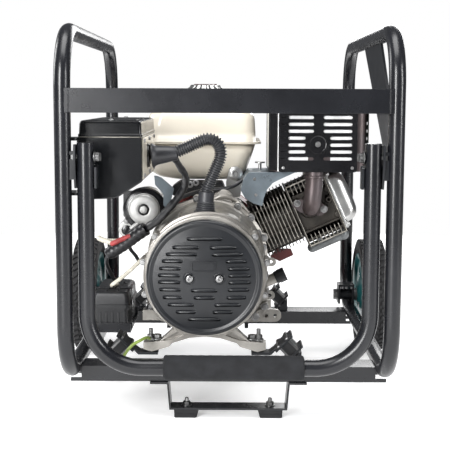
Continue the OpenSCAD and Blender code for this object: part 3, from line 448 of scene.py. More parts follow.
class Shape:
    """Vertices and faces in millimetres, gathered from simple parts into one mesh."""

    def __init__(self):
        self.verts = []
        self.faces = []

    def add(self, verts, faces):
        start = len(self.verts)
        self.verts += [Vector(v) for v in verts]
        self.faces += [tuple(i + start for i in f) for f in faces]
        return self

    def box(self, lo, hi, at=None):
        corners = [Vector((x, y, z)) for x in (lo[0], hi[0]) for y in (lo[1], hi[1])
                   for z in (lo[2], hi[2])]
        if at:
            corners = [at @ c for c in corners]
        return self.add(corners, [(0, 1, 3, 2), (4, 6, 7, 5), (0, 4, 5, 1), (2, 3, 7, 6),
                                  (0, 2, 6, 4), (1, 5, 7, 3)])

    def loft(self, rings, caps=True):
        """Skin over rings that have the same number of points."""
        count = len(rings[0])
        verts = [p for ring in rings for p in ring]
        faces = []
        for i in range(len(rings) - 1):
            a, b = i * count, (i + 1) * count
            for k in range(count):
                j = (k + 1) % count
                faces.append((a + k, a + j, b + j, b + k))
        if caps:
            faces.append(tuple(reversed(range(count))))
            faces.append(tuple(range(len(verts) - count, len(verts))))
        return self.add(verts, faces)

    def lathe(self, profile, at, segs=48, caps=False):
        """Profile points (radius, height) turned about local Z."""
        rings = []
        for r, h in profile:
            ring = []
            for k in range(segs):
                a = 2 * math.pi * k / segs
                ring.append(at @ Vector((r * math.cos(a), r * math.sin(a), h)))
            rings.append(ring)
        return self.loft(rings, caps=caps)

    def hoop(self, profile, at, segs=48):
        """A closed profile turned about local Z."""
        return self.lathe(list(profile) + [profile[0]], at, segs)

    def rod(self, d, a, b, segs=32, edge=0.8):
        """A round bar from a to b with softened ends."""
        a, b = Vector(a), Vector(b)
        long = (b - a).length
        e = min(edge, d / 4, long / 4)
        profile = [(0, 0), (d / 2 - e, 0), (d / 2 - e * 0.3, e * 0.3), (d / 2, e),
                   (d / 2, long - e), (d / 2 - e * 0.3, long - e * 0.3), (d / 2 - e, long), (0, long)]
        return self.lathe(profile, frame_at(a, b - a), segs)

    def tube(self, points, radius, segs=20, flat=1.0, side=None):
        """A sweep along points. radius is a number or a function of the distance gone.
        flat below 1 squeezes the section along its second direction."""
        pts = [Vector(p) for p in points]
        count = len(pts)
        gone = [0.0]
        for a, b in zip(pts, pts[1:]):
            gone.append(gone[-1] + (b - a).length)
        rings = []
        normal = None
        for i, p in enumerate(pts):
            t = (pts[min(i + 1, count - 1)] - pts[max(i - 1, 0)]).normalized()
            if normal is None:
                hint = Vector(side) if side is not None else (Z if abs(t.z) < 0.9 else Y)
                normal = (hint - t * hint.dot(t)).normalized()
            normal = (normal - t * normal.dot(t)).normalized()
            other = t.cross(normal)
            r = radius(gone[i]) if callable(radius) else radius
            rings.append([p + normal * r * math.cos(2 * math.pi * k / segs)
                          + other * r * flat * math.sin(2 * math.pi * k / segs)
                          for k in range(segs)])
        return self.loft(rings)

    def slab(self, outline, a, b, put, holes=()):
        """An outline with holes, from offset a to offset b; put maps (u, v, offset) to space."""
        verts, faces = fill_outline(outline, holes)
        self.add([put(v[0], v[1], a) for v in verts], [tuple(reversed(f)) for f in faces])
        self.add([put(v[0], v[1], b) for v in verts], faces)
        for ring in [outline] + list(holes):
            count = len(ring)
            low = [put(p[0], p[1], a) for p in ring]
            high = [put(p[0], p[1], b) for p in ring]
            self.add(low + high, [(k, (k + 1) % count, count + (k + 1) % count, count + k)
                                  for k in range(count)])
        return self

    def hex_bolt(self, place, out, across=13, head=5.5, washer=True, stud=0.0):
        """Hexagon head on a washer, with an optional stud end; out points away from the seat."""
        m = frame_at(place, out)
        base, pitch = 0.0, 1.25
        if washer:
            base = 1.8
            self.lathe([(0, 0), (across * 0.78, 0), (across * 0.78, 1.4), (across * 0.74, base),
                        (0, base)], m, 28)
        corner = across / math.sqrt(3)
        rings = []
        for scale, h in ((0.94, base), (1.0, base + 0.5), (1.0, base + head - 1.1), (0.86, base + head)):
            rings.append([m @ Vector((corner * scale * math.cos(math.radians(60 * k)),
                                      corner * scale * math.sin(math.radians(60 * k)), h))
                          for k in range(6)])
        self.loft(rings)
        if stud:
            r = across * 0.30
            profile = [(0, base)]
            for k in range(int(stud / pitch)):
                h = base + head - 1 + k * pitch
                profile += [(r, h), (r * 0.88, h + 0.62)]
            profile += [(r * 0.8, base + head + stud), (0, base + head + stud)]
            self.lathe(profile, m, 20)
        return self

    def socket_screw(self, place, out, d=11, head=5.0):
        """Pan head, dished in the middle."""
        m = frame_at(place, out)
        r = d / 2
        self.lathe([(0, 0), (r, 0), (r, head * 0.45), (r * 0.82, head * 0.86), (r * 0.45, head),
                    (r * 0.28, head * 0.92), (r * 0.2, head * 0.55), (0, head * 0.5)], m, 32)
        return self


def piece(shape, name, look_name, body="frame", bevel=0.0, smooth=38, replaces=()):
    """Makes a Shape into an object that rides on a body."""
    mesh = bpy.data.meshes.new(name)
    mesh.from_pydata([v * MM for v in shape.verts], [], shape.faces)
    bm = bmesh.new()
    bm.from_mesh(mesh)
    bmesh.ops.remove_doubles(bm, verts=bm.verts, dist=2e-6)
    bmesh.ops.dissolve_degenerate(bm, edges=bm.edges, dist=1e-7)
    bmesh.ops.recalc_face_normals(bm, faces=bm.faces)
    bm.to_mesh(mesh)
    bm.free()
    mesh.shade_smooth()
    mesh.set_sharp_from_angle(angle=math.radians(smooth))
    obj = bpy.data.objects.new(name, mesh)
    bpy.context.scene.collection.objects.link(obj)
    mesh.materials.append(look(look_name))
    if bevel:
        soften_edges(obj, bevel)
    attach(obj, body)
    if replaces:
        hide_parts(*replaces)


def soften_edges(obj, width, segs=2):
    """Rounds edges sharper than 32 degrees; width in millimetres."""
    mod = obj.modifiers.new("soft edges", "BEVEL")
    mod.width = width * MM
    mod.segments = segs
    mod.limit_method = "ANGLE"
    mod.angle_limit = math.radians(32)
    mod.use_clamp_overlap = True
    mod.miter_outer = "MITER_ARC"
    even = obj.modifiers.new("even shading", "WEIGHTED_NORMAL")
    even.keep_sharp = False


def dress_cad(node, look_name, bevel=0.0, segs=2):
    """A CAD node keeps its mesh and gets its finish, and softer edges where it has flat faces."""
    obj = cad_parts[node]
    obj.data.materials.clear()
    obj.data.materials.append(look(look_name))
    if bevel:
        weld = obj.modifiers.new("joined", "WELD")
        weld.merge_threshold = 0.005 * MM
        soften_edges(obj, bevel, segs)


# ---------- alternator ----------

LOUVRES = ((75, 0), (59, 10), (46, 14), (33, 40), (19, 44), (6, 45), (-7, 45), (-21, 44),
           (-36, 42), (-50, 19), (-64, 16), (-78, 0))
MIDDLE_LOUVRES = ((-22, 25), (-36, 20))
SCREW_U = 28
PLATE_R = 97.5
COVER_SHEET = 1.8
HOOD = ((4.2, -0.4), (3.7, 1.6), (2.6, 3.4), (0.9, 4.5), (-0.5, 4.6), (-1.1, 3.8), (-0.6, 3.0),
        (0.7, 3.1), (1.8, 1.8), (2.9, -1.4))


def cover_height(u, v):
    """How far the domed plate stands out from the cover's back."""
    return 27.6 - 8.2 * (u * u + v * v) / PLATE_R ** 2


def louvre_slots():
    """Each louvre as (left end, right end, height)."""
    reach, squash, shortest = 88, 1.18, 31
    slots = []
    for v, gap in LOUVRES:
        end = max(shortest, math.sqrt(reach ** 2 - v * v * squash))
        if gap:
            slots += [(-end, -gap, v), (gap, end, v)]
        else:
            slots.append((-end, end, v))
    return slots + [(-half, half, v) for v, half in MIDDLE_LOUVRES]


def cover_put(u, v, out):
    """A place on the end cover's domed plate, out millimetres in front of it."""
    return Vector((CRANK[0] + u, COVER_BACK - cover_height(u, v) - out, CRANK[1] + v))


def louvre_hood(u0, u1, v):
    """Rings of a hood that rises over one louvre and closes at both ends."""
    rings = []
    for k in range(17):
        t = k / 16
        grow = max(0.04, 1 - abs(2 * t - 1) ** 5)
        u = u0 + (u1 - u0) * t
        rings.append([cover_put(u, v + dv * (0.4 + 0.6 * grow) + 1.0 * (1 - grow), out * grow)
                      for dv, out in HOOD])
    return rings


def make_alternator_cover():
    """Domed plate with hooded louvres in a rolled rim, a blank name plate and two screws."""
    shape = Shape()
    slots = louvre_slots()
    holes = [capsule(u0, u1, v - 0.4, 6.2) for u0, u1, v in slots]
    inner = circle_points((24, 46, 66, 92), 36, 0.31)
    verts, faces = fill_outline(arc(0, 0, PLATE_R, 0, 356.25, 95), holes, inner)
    shape.add([cover_put(v[0], v[1], 0) for v in verts], faces)
    shape.add([cover_put(v[0], v[1], -COVER_SHEET) for v in verts], [tuple(reversed(f)) for f in faces])
    for hole in holes:
        shape.loft([[cover_put(p[0], p[1], c) for p in hole] for c in (0, -COVER_SHEET)], caps=False)
    rim = [(PLATE_R, 19.4), (99.5, 19.9), (101.5, 21.4), (103.5, 22), (105.8, 21.7), (108, 20.2),
           (109.6, 17.8), (110.4, 14), (110.4, 1.2), (109.6, 0.2), (107.8, 0.2), (107.6, 14),
           (105, 18.4), (PLATE_R, 17.6)]
    shape.hoop(rim, crank_axis(COVER_BACK), 128)
    # dark disc behind the louvres, there only to hide the parts inside so that the openings read as shade:
    # painted shade
    shape.hoop([(17, 6), (103, 6), (103, 7.2), (17, 7.2)], crank_axis(COVER_BACK), 96)
    for slot in slots:
        shape.loft(louvre_hood(*slot))
    # blank name plate, with a raised edge
    plate = round_rect(-24.5, 22.5, 13.3, 33.8, 4)
    inset = round_rect(-22.4, 20.4, 15.4, 31.7, 2.6)
    shape.slab(plate, -0.4, 2.2, cover_put, [inset])
    shape.slab(round_rect(-20.6, 18.6, 17.2, 29.9, 2), -0.4, 0.6, cover_put)
    # dished seats of the two screws
    for u in (-SCREW_U, SCREW_U):
        seat = frame_at(cover_put(u, 1, 0), -Y)
        shape.lathe([(6.6, -2.4), (7.6, 0.6), (9.2, 1.5), (10.8, 1.1), (11.8, -0.4)], seat, 32)
    piece(shape, "end_cover", "cover_paint", replaces=("alternator_cover",), smooth=45)
    heads = Shape()
    for u in (-SCREW_U, SCREW_U):
        heads.socket_screw((CRANK[0] + u, -324.9, 278), -Y, 13.4, 2.6)
    piece(heads, "cover_screws", "machined")


def make_alternator_details():
    """Beads, ribs, lugs and bolts on the cast housing."""
    cast, bolts = Shape(), Shape()
    bead = [(113.6, 0), (116.2, 0.6), (117.2, 2.4), (117.2, 8.4), (116.2, 10.4), (113.6, 11.4)]
    cast.lathe(bead, crank_axis(-280.4), 128)
    wide_bead = [(113.6, 0), (118.6, 0.8), (119.6, 3), (119.6, 9), (118.4, 11), (113.6, 12)]
    cast.lathe(wide_bead, crank_axis(-236), 128)
    conduit_from, conduit_to = 62, 118
    for angle in range(6, 360, 16):
        if not conduit_from < angle < conduit_to:
            rib = frame_at(ring_spot(114.6, angle, -172), outward(angle), Y)
            cast.box((-52, -2.2, -3), (58, 2.2, 3.4), rib)
    # radius, angles, and then lug width, rear end, length, segments and bolt width, seat, head
    for r, angles, lug, bolt in ((127, range(20, 360, 40), (19, -38, 15, 28), (10, -53, 5)),
                                 (121, (-18, 12, 38, 142, 168, 198), (14, -226, 52, 24), (8, -278, 4))):
        for angle in angles:
            spot = ring_spot(r, angle, lug[1])
            cast.rod(lug[0], spot, spot - Y * lug[2], lug[3], 2)
            bolts.hex_bolt(ring_spot(r, angle, bolt[1]), -Y, bolt[0], bolt[2])
    cast.lathe([(23, -12), (24, 0), (21, 3.4), (0, 3.4)], frame_at((-47, -213, 388), Z), 40)
    piece(cast, "housing_ribs", "casting", bevel=0.7)
    for x in (-138, 46):
        bolts.hex_bolt((x, FRONT_RAIL, 152), Z, 15, 7)
    piece(bolts, "housing_bolts", "bright_steel", bevel=0.3)


# ---------- engine ----------

CASE = ((-150, 138), (66, 138), (78, 160), (78.9, 266.9), (25.2, 387.5), (-60, 395), (-120, 372),
        (-160, 320), (-160, 200))
SHOULDER_LUGS = ((72, 300), (60, 330), (46, 362), (76, 240), (78, 205), (76, 172))
REAR_BOLTS = ((-140, 160), (-60, 150), (30, 150), (-150, 300), (-112, 360))


def make_crankcase_details():
    """Flanges, lugs, ribs, plugs and bolts on the crankcase."""
    cast = Shape()
    middle_z = 262
    outline = round_corners(CASE, 16)
    grown = [(CRANK[0] + (x - CRANK[0]) * 1.025, middle_z + (z - middle_z) * 1.022) for x, z in outline]
    hole = arc(*CRANK, 116, 0, 352, 44)
    cast.slab(grown, -6, 4, to_xz(-34), [hole])
    cast.slab(grown, 0, 5, to_xz(90))
    # lugs for the side bolts, with ribs; the upper three have small bosses too
    for k, (x, z) in enumerate(SHOULDER_LUGS):
        cast.rod(17, (x, -52, z), (x, -24, z), 24, 2)
        cast.box((x - 26, -45, z - 2), (x, -38, z + 2))
        if k < 3:
            cast.rod(12, (x - 18, -48, z + 12), (x - 18, -30, z + 12), 20, 1.5)
    for y in range(-10, 140, 26):
        cast.box((-163, y, 205), (-158, y + 5, 318))
    for y in (4, 40, 76, 112):
        cast.box((76, y, 165), (81, y + 5, 255))
    cast.lathe([(0, 0), (22, 0), (22, 9), (19, 12), (0, 12)], frame_at((-13, -30, 398), -Y + Z * 0.2), 36)
    cast.tube(smooth_path([(-40, -46, 398), (-18, -50, 408), (4, -48, 404), (22, -44, 392),
                           (40, -42, 372)], 8), 4.5, 12)
    # ears with bolt holes: left, right, Z, width, steps of the round end, thickness, X of the holes
    for left, right, z, high, steps, thick, holes in (
            (56, 112, 152, 27, 10, 10, (80, 99)), (62, 100, 268, 18, 8, 8, (89,)),
            (62, 98, 196, 18, 8, 8, (87,))):
        cast.slab(capsule(left, right, z, high, steps), 0, thick, to_xz(-52),
                  [arc(x, z, 4, 0, 330, 11) for x in holes])
    piece(cast, "crankcase_ribs", "casting", bevel=0.9)
    dark = Shape()
    dark.lathe([(0, 2), (4.5, 2), (5.5, 4), (8, 4.5), (10, 3.5), (10.6, 0), (10.6, -4)],
               frame_at((9, -52, 374), -Y), 32)
    dark.lathe([(0, 0), (17, 0), (17, 6), (14, 7), (0, 7)], frame_at((CRANK[0], 143, 160), Y), 32)
    piece(dark, "crankcase_plugs", "black_plastic")
    bolts = Shape()
    for x, z in SHOULDER_LUGS:
        bolts.hex_bolt((x, -52, z), -Y, 10, 5)
    for x, z in REAR_BOLTS:
        bolts.hex_bolt((x, 95, z), Y, 12, 6)
    for x in (78, -170):
        for y in (-24, 94):
            bolts.hex_bolt((x, y, 160), Z, 14, 8, stud=5)
    bolts.hex_bolt((58, -44, 150), -Y, 15, 7)
    piece(bolts, "crankcase_bolts", "bright_steel", bevel=0.3)


def make_cylinder():
    """Barrel with its fins, and bright strips along the fins' front edges that are painted highlights."""
    shape, edges = Shape(), Shape()
    bore_r, count, first, pitch = 44.1, 11, 120.5, 8.1
    hole = arc(0, 0, bore_r, 0, 352.5, 47)
    barrel = [(bore_r, 110.2), (57, 110.2), (57, 118), (53, 121), (53, 200), (56, 207.9), (bore_r, 207.9)]
    shape.hoop(barrel, BORE, 64)
    for k in range(count):
        u = first + pitch * k
        left = -70 if k > 1 else -60    # the lowest two fins clear the crankcase
        shape.slab(round_rect(left, 58, -61.8, 61.8, 15), 0, 2.3, bore_put(u), [hole])
        # bright strip along the front of each fin: a painted highlight on the fin's edge
        edges.box((left + 14, -62.4, u + 0.3), (44, -61.4, u + 2.0), BORE)
    shape.box((-69, -5, 120), (57, 5, 206), BORE)
    # webs that tie the fins together
    for x in (-44, -14, 16, 42):
        for y in (-60, 56):
            shape.box((x - 2, y, 118), (x + 2, y + 4, 204), BORE)
    piece(shape, "finned_barrel", "casting_dark", replaces=("cylinder",), bevel=0.5)
    piece(edges, "barrel_edge_highlights", "painted_edge_highlight", bevel=0.3)


HEAD_LOW, HEAD_HIGH = 208.4, 296.9
HEAD_FINS = [HEAD_LOW + 11.6 + 9.1 * k for k in range(8)]
PORT_STUDS = ((-27, 221), (7, 268))


def make_head():
    """Finned block with its exhaust port."""
    shape = Shape()

    def block(x0, x1, y0, y1, u0=HEAD_LOW, u1=HEAD_HIGH):
        shape.box((x0, y0, u0), (x1, y1, u1), BORE)

    def boss(profile, x, y, u, segs=28):
        shape.lathe(profile, frame_at(BORE @ Vector((x, y, u)), -Y), segs)

    block(-42, 44, -48, 50)
    block(-67, 71, -4, 38, u1=HEAD_HIGH - 1)
    shape.slab(round_rect(-68, 72, -62, 62, 6), 0, 4, bore_put(HEAD_LOW))
    shape.slab(round_rect(-68, 72, -62, 62, 6), -5.5, 0, bore_put(HEAD_HIGH))
    for u in HEAD_FINS:
        for x0, x1 in ((-67, -44), (46, 71)):
            shape.slab(round_rect(x0, x1, -61, 61, 2), 0, 2.2, bore_put(u))
        shape.slab(round_rect(-66, 70, 40, 62, 2), 0, 2.2, bore_put(u))
    for x in (-56, 57):
        block(x - 1.6, x + 1.6, -61.5, 61)
    block(38, 41, -60, -44)
    # port with its two stud bosses, and the small ring boss
    boss([(15, -18), (15, 21), (17, 22), (21.5, 22), (23, 20.5), (27, 0)], -8, -44, 244, 48)
    for x, u in PORT_STUDS:
        boss([(0, 21), (7, 21), (8, 20), (10.5, 0)], x, -44, u)
    boss([(3.2, 0), (3.2, 12.5), (4, 13.2), (6, 13.2), (6.9, 12), (8, 0)], -7, -50, 286)
    for x in (-30, 30):
        shape.rod(13, BORE @ Vector((x, -46, 292)), BORE @ Vector((x, -61, 292)), 20, 1.5)
    piece(shape, "finned_head", "casting_dark", replaces=("cylinder_head",), bevel=0.45)
    make_head_edge_highlights()
    bolts = Shape()
    for x, u in PORT_STUDS:
        bolts.hex_bolt(BORE @ Vector((x, -69.6, u)), -Y, 10, 5, stud=3)
    piece(bolts, "port_nuts", "bright_steel", bevel=0.3)
    make_rocker_cover()


def make_head_edge_highlights():
    """Bright strips on the edges of the head's plates and fins, painted as highlights."""
    edges = Shape()
    rim = round_rect(-68.4, 72.4, -62.5, 62.5, 6)
    inner = round_rect(-64.5, 68.5, -58.5, 58.5, 4)
    edges.slab(rim, -0.6, 1.0, bore_put(HEAD_LOW + 3), [inner])
    edges.slab(rim, 0.0, 1.4, bore_put(HEAD_HIGH - 2.2), [inner])
    for x in (-66.5, 70.5):
        edges.box((x - 1.4, -62.6, HEAD_LOW + 3), (x + 1.4, -60.2, HEAD_HIGH - 3), BORE)
    for u in HEAD_FINS:
        for x0, x1 in ((-66, -46), (48, 70)):
            edges.box((x0, -61.7, u + 0.4), (x1, -60.4, u + 1.8), BORE)
    piece(edges, "head_edge_highlights", "painted_edge_highlight", bevel=0.3)


def make_rocker_cover():
    cover = Shape()
    rings = []
    for inset, u, r in ((0, 297.3, 12), (0, 301.2, 12), (1.2, 302.4, 12), (8.5, 302.9, 14),
                        (10, 306, 15), (11, 316, 16), (14, 325, 20), (20, 332, 22), (29, 336, 20),
                        (42, 337.3, 12)):
        rings.append([bore_put(u)(a, b, 0) for a, b in
                      round_rect(-66 + inset, 68 - inset, -56 + inset * 0.8, 56 - inset * 0.8, r, 8)])
    cover.loft(rings)
    for x, y in ((-58, -47), (60, -47), (-58, 47), (60, 47)):
        cover.hex_bolt(BORE @ Vector((x, y, 301.5)), BORE.to_3x3() @ Z, 10, 5)
    piece(cover, "rocker_cover_shell", "pressed_metal", replaces=("rocker_cover",), smooth=50)


def make_exhaust():
    """Bent pipe from the port flange up into the muffler."""
    shape = Shape()
    path = smooth_path([(179, -49, 466), (178, -49, 436), (176, -49, 408), (174, -47, 391),
                        (173.6, -40, 384), (173.6, -31, 383.5)], 8)
    shape.tube(path, 19, 36)
    plate = round_corners([(130, 388), (150, 401), (192, 396), (215, 380), (196, 365), (152, 372)], 12)
    shape.slab(plate, -4, 0, to_xz(-27))
    shape.lathe([(19, 0), (22, 1), (22, 5), (19, 6.5)], frame_at((178.4, -49, 447), Z), 36)
    piece(shape, "exhaust_elbow", "exhaust_metal", replaces=("exhaust_pipe",), bevel=0.5, smooth=50)


def guard_openings():
    """Slots of the guard, and the crease beside each row. Three rows make room for the knob."""
    openings, creases = [], []
    for k in range(7):
        z = 489 + 14.3 * k
        left, right = (158, 209) if k in (1, 2, 3) else (175, 195)
        openings += [(122, left, z), (right, 255, z)]
        creases.append((105, 118, z))
    return openings, creases


def make_guard():
    """Slotted guard with its knob dish, the near-white screen behind it, side guards and the seam. The
    screen's brightness is partly the muffler's aluminised colour and partly painted sheen, so that the slots
    read bright.
    """
    shape = Shape()
    openings, creases = guard_openings()
    holes = []
    for k, crease in enumerate(creases):
        holes += [capsule(*slot, 6.6) for slot in openings[2 * k:2 * k + 2]]
        holes.append(capsule(*crease, 1.6, 3))
    outline = round_rect(102, 266, 461, 596, 6)
    shape.slab(outline, 0, 1.6, to_xz(GUARD_FACE), holes + [arc(*GUARD_KNOB, 6, 0, 350, 35)])
    shape.slab(outline, 1.0, 17.6, to_xz(GUARD_FACE), [round_rect(103.6, 264.4, 462.6, 594.4, 5)])
    shape.lathe([(6, -3.5), (12, -3.2), (15.5, -0.5), (18.5, 0.2), (20.5, -0.2), (21, 2)],
                frame_at((GUARD_KNOB[0], -69.9, GUARD_KNOB[1]), -Y), 48)
    for u0, u1, z in openings:
        shape.slab(capsule(u0 - 1.2, u1 + 1.2, z, 9.0), -0.6, 0.2, to_xz(GUARD_FACE),
                   [capsule(u0, u1, z, 6.6)])
    piece(shape, "slotted_guard", "black_paint", replaces=("muffler_guard",), bevel=0.35)
    # near-white sheet set just behind the slots so that the openings read bright: aluminised colour with
    # painted sheen
    sheet = Shape()
    sheet.slab(round_rect(119, 262, 481, 592, 4), 0, 0.9, to_xz(-65.8))
    sheet.box((100.6, -68.5, 462), (102.4, -50, 595))
    piece(sheet, "muffler_screen", "aluminised_sheen")
    screw = Shape()
    screw.hex_bolt((GUARD_KNOB[0], -66.5, GUARD_KNOB[1]), -Y, 10, 5)
    for x, z in ((112, 470), (256, 470), (112, 588), (256, 588)):
        screw.socket_screw((x, -69.7, z), -Y, 7, 2.4)
    screw.hex_bolt((178, -64, 478), -Y, 9, 4, washer=False)
    piece(screw, "guard_screws", "bright_steel", bevel=0.2)
    side = Shape()
    for x, near, far in ((84, -2, -0.2), (290, 0.2, 2)):
        side.slab(round_rect(-48, 94, 463, 588, 8), near, far, to_yz(x),
                  [capsule(-36, 82, 482 + 16 * k, 6) for k in range(6)])
    side.box((84, -53, 463), (100.8, -50.6, 595))
    piece(side, "muffler_side_guards", "black_paint", bevel=0.3)
    seam = Shape()
    seam.slab(round_rect(84.6, 289.4, 461.6, 589.4, 12), -1.5, 1.5, to_xz(24),
              [round_rect(88, 286, 465, 586, 10)])
    piece(seam, "muffler_seam", "exhaust_metal", bevel=0.4)


# ---------- tank ----------

def make_tank():
    """Two pressed halves with a seam flange and a filler neck."""
    shape = Shape()
    upper = [(516, -184, 58, 58, 302, 32), (540, -183.5, 57, 59, 301, 32),
             (566, -182, 55.5, 61, 299, 33), (577, -179, 53, 64, 296, 34),
             (584, -173, 47, 70, 290, 34), (588.4, -164, 38, 79, 281, 32), (589.8, -150, 24, 92, 268, 26)]
    lower = [(432.5, -126, 12, 104, 256, 20), (434.5, -141, 23, 92, 268, 26),
             (440, -160, 30, 80, 280, 30), (450, -175, 35.5, 70, 290, 33), (462, -181, 40, 64, 296, 34),
             (490, -183, 50, 60, 300, 33), (516, -184, 58, 58, 302, 32)]
    shape.loft([flat_ring(*row, 10) for row in lower])
    shape.loft([flat_ring(*row, 10) for row in upper])
    # seam flange of the two halves
    out = 6
    for z0, z1 in ((513.2, 515.9), (516.1, 518.8)):
        shape.loft([flat_ring(z, -184 - o, 58 + o * 2, 58 - o, 302 + o, 34, 10) for z, o in
                    ((z0, out - 1), (z0 + 0.7, out), (z1 - 0.7, out), (z1, out - 1))])
    shape.lathe([(31, 582), (30.6, 590), (30, 592), (30, 603), (31, 604.5), (29, 606), (24.5, 606),
                 (24.5, 586)], Matrix.Translation((*CAP, 0)), 48)
    # pressed stiffening step on the top
    shape.slab(round_rect(-120, -6, 92, 118, 10), 0, 1.4, to_xy(589.6))
    piece(shape, "pressed_tank", "tank_paint", replaces=("fuel_tank",), bevel=0.4, smooth=50)
    make_cap()
    make_tank_bracket()


def wavy_circle(r, wave, waves, count):
    """A knurled outline as (X, Y) points."""
    points = []
    for k in range(count):
        a = 2 * math.pi * k / count
        out = r + wave * math.cos(waves * a)
        points.append((out * math.cos(a), out * math.sin(a)))
    return points


def make_cap():
    """Knurled cap with a dark grip bar."""
    cap = Shape()
    rings = [[Vector((CAP[0] + x * s, CAP[1] + y * s, z)) for x, y in wavy_circle(41.2, 1.6, 18, 144)]
             for s, z in ((0.80, 606.6), (0.93, 606.6), (0.97, 600.6), (1.0, 601.6), (1.0, 632),
                          (0.96, 636.5), (0.86, 639), (0.82, 642.5), (0.76, 644), (0.40, 644.8))]
    cap.loft(rings)
    piece(cap, "tank_cap", "pressed_metal", body="fuel_cap", replaces=("fuel_cap",), smooth=50)
    marks = Shape()
    marks.box((-82, 164, 644), (-30, 172, 645.9))
    marks.lathe([(0, 645.8), (8, 645.8), (10, 644)], Matrix.Translation((*CAP, 0)), 32)
    piece(marks, "tank_cap_grip", "dark_red", body="fuel_cap", bevel=0.4)


def make_tank_bracket():
    """Sheet bracket under the tank, with its boss and a stud."""
    fittings = Shape()
    fittings.lathe([(0, 0), (14, 0), (16, 2), (16, 7), (12, 9), (6, 9), (4, 6), (0, 6)],
                   frame_at((13, 62, 448), -Y), 36)
    fittings.slab(round_corners([(-6, 396), (24, 396), (28, 440), (22, 462), (0, 462), (-8, 430)], 6),
                  0, 3, to_xz(58))
    fittings.rod(7, (67, 62, 440), (67, 62, 474), 16)
    fittings.lathe([(0, 0), (11, 0), (11, 3), (0, 3)], frame_at((67, 62, 472), Z), 24)
    piece(fittings, "tank_bracket", "pressed_metal", bevel=0.4)


# ---------- wheels, handle and feet ----------

def wheel_axle(side):
    """Local Z points outwards along a wheel's axle, from the wheel's inner face."""
    return frame_at((side * WHEEL[0], WHEEL[1], WHEEL[2]), X * side, Y)


def side_name(side):
    return "right" if side > 0 else "left"


def tyre_tread(side):
    """Solid tyre with four rows of slanted blocks."""
    shape = Shape()
    axle = wheel_axle(side)
    base = [(101.1, 5), (109, 3), (116, 1), (122, 0.4), (127.5, 1.6), (130.5, 5), (131.2, 14),
            (131.4, 31), (131.2, 48), (130.5, 57), (127.5, 60.4), (122, 61.6), (116, 61), (109, 59),
            (101.1, 57)]
    shape.hoop(base, axle, 120)
    for bead in (2.2, 59.8):
        shape.hoop([(108, bead), (110, bead - 1.6 if bead < 30 else bead + 1.6), (112, bead)], axle, 96)

    def block(a0, a1, h0, h1, skew):
        rings = []
        for r, trim in ((128, 0), (134.6, 0.006), (135.7, 0.014)):
            corners = ((a0 + trim, h0 + trim * 60), (a1 - trim, h0 + trim * 60),
                       (a1 - trim + skew, h1 - trim * 60), (a0 + trim + skew, h1 - trim * 60))
            rings.append([axle @ Vector((r * math.cos(a), r * math.sin(a), h)) for a, h in corners])
        shape.loft(rings)

    count = 46
    wide = 2 * math.pi / count
    for k in range(count):
        a = 2 * math.pi * k / count
        block(a, a + wide * 0.62, 3.5, 19, wide * 0.55)
        block(a + wide * 0.55, a + wide * 1.12, 21.5, 30, -wide * 0.4)
        block(a + wide * 0.2, a + wide * 0.77, 32, 40.5, wide * 0.4)
        block(a + wide * 0.55, a + wide * 1.17, 43, 58.5, -wide * 0.55)
    name = side_name(side)
    piece(shape, name + "_tread", "tyre", body=name + "_wheel", replaces=(name + "_tyre",), smooth=30)


def wheel_disc(side):
    """Two pressed discs with five holes each, on a rim and a hub tube."""
    shape = Shape()
    axle = wheel_axle(side)
    sheet = 2.2
    for face, way in ((0, 1), (62, -1)):
        holes = [arc(60 * math.cos(math.radians(72 * k)), 60 * math.sin(math.radians(72 * k)), 8,
                     0, 345, 23) for k in range(5)]

        def put(u, v, out, face=face, way=way):
            r = math.hypot(u, v)
            if r < 50:
                depth = 10 - 6 * max(0, 1 - abs(r - 34) / 16)
            else:
                depth = 10 - 2.2 * math.exp(-((r - 60) / 16) ** 2)
            return axle @ Vector((u, v, face + way * (depth - out)))

        extra = circle_points((24, 29, 34, 39, 45, 50, 72, 80), 40, 0.2)
        verts, faces = fill_outline(arc(0, 0, 87, 0, 356, 89), holes + [arc(0, 0, 20, 0, 350, 35)], extra)
        shape.add([put(v[0], v[1], 0) for v in verts], faces)
        shape.add([put(v[0], v[1], -sheet) for v in verts], [tuple(reversed(f)) for f in faces])
        for hole in holes:
            shape.loft([[put(p[0], p[1], c) for p in hole] for c in (0, -sheet)], caps=False)
        h = [face + way * d for d in (10, 6, 3, 2, 2.4, 5, 12, 12.4)]
        shape.lathe(list(zip((86, 90, 95, 99, 101, 101, 97, 86), h)), axle, 96)
    shape.lathe([(101, 4), (101, 24), (96, 31), (101, 38), (101, 58)], axle, 96)
    shape.hoop([(8.1, 0.4), (20, 0.4), (21.5, 2), (21.5, 60), (20, 61.6), (8.1, 61.6)], axle, 48)
    name = side_name(side)
    piece(shape, name + "_disc", "wheel_disc", body=name + "_wheel",
          replaces=(name + "_wheel_hub",), smooth=40)
    bearing = Shape()
    bearing.lathe([(8.2, 61.7), (13, 61.7), (13.5, 61), (13.5, 60)], axle, 36)
    bearing.lathe([(14.4, 61.7), (18.6, 61.7), (18.6, 60)], axle, 36)
    piece(bearing, name + "_bearing", "bright_steel", body=name + "_wheel")


def make_grip():
    """Foam sleeve with faint rings, on the handle's crossbar."""
    shape = Shape()
    long, outer, count = 255, 22.9, 30
    profile = [(15.3, 0), (19, 0), (21.8, 1.2), (outer, 4)]
    profile += [(outer - 0.25 * (k % 2), long * k / count) for k in range(1, count)]
    profile += [(outer, long - 4), (21.8, long - 1.2), (19, long), (15.3, long)]
    shape.lathe(profile, frame_at((-117.5, HANDLE_Y, 128), X), 48)
    piece(shape, "foam_sleeve", "foam", body="handle", replaces=("handle_grip",), smooth=60)


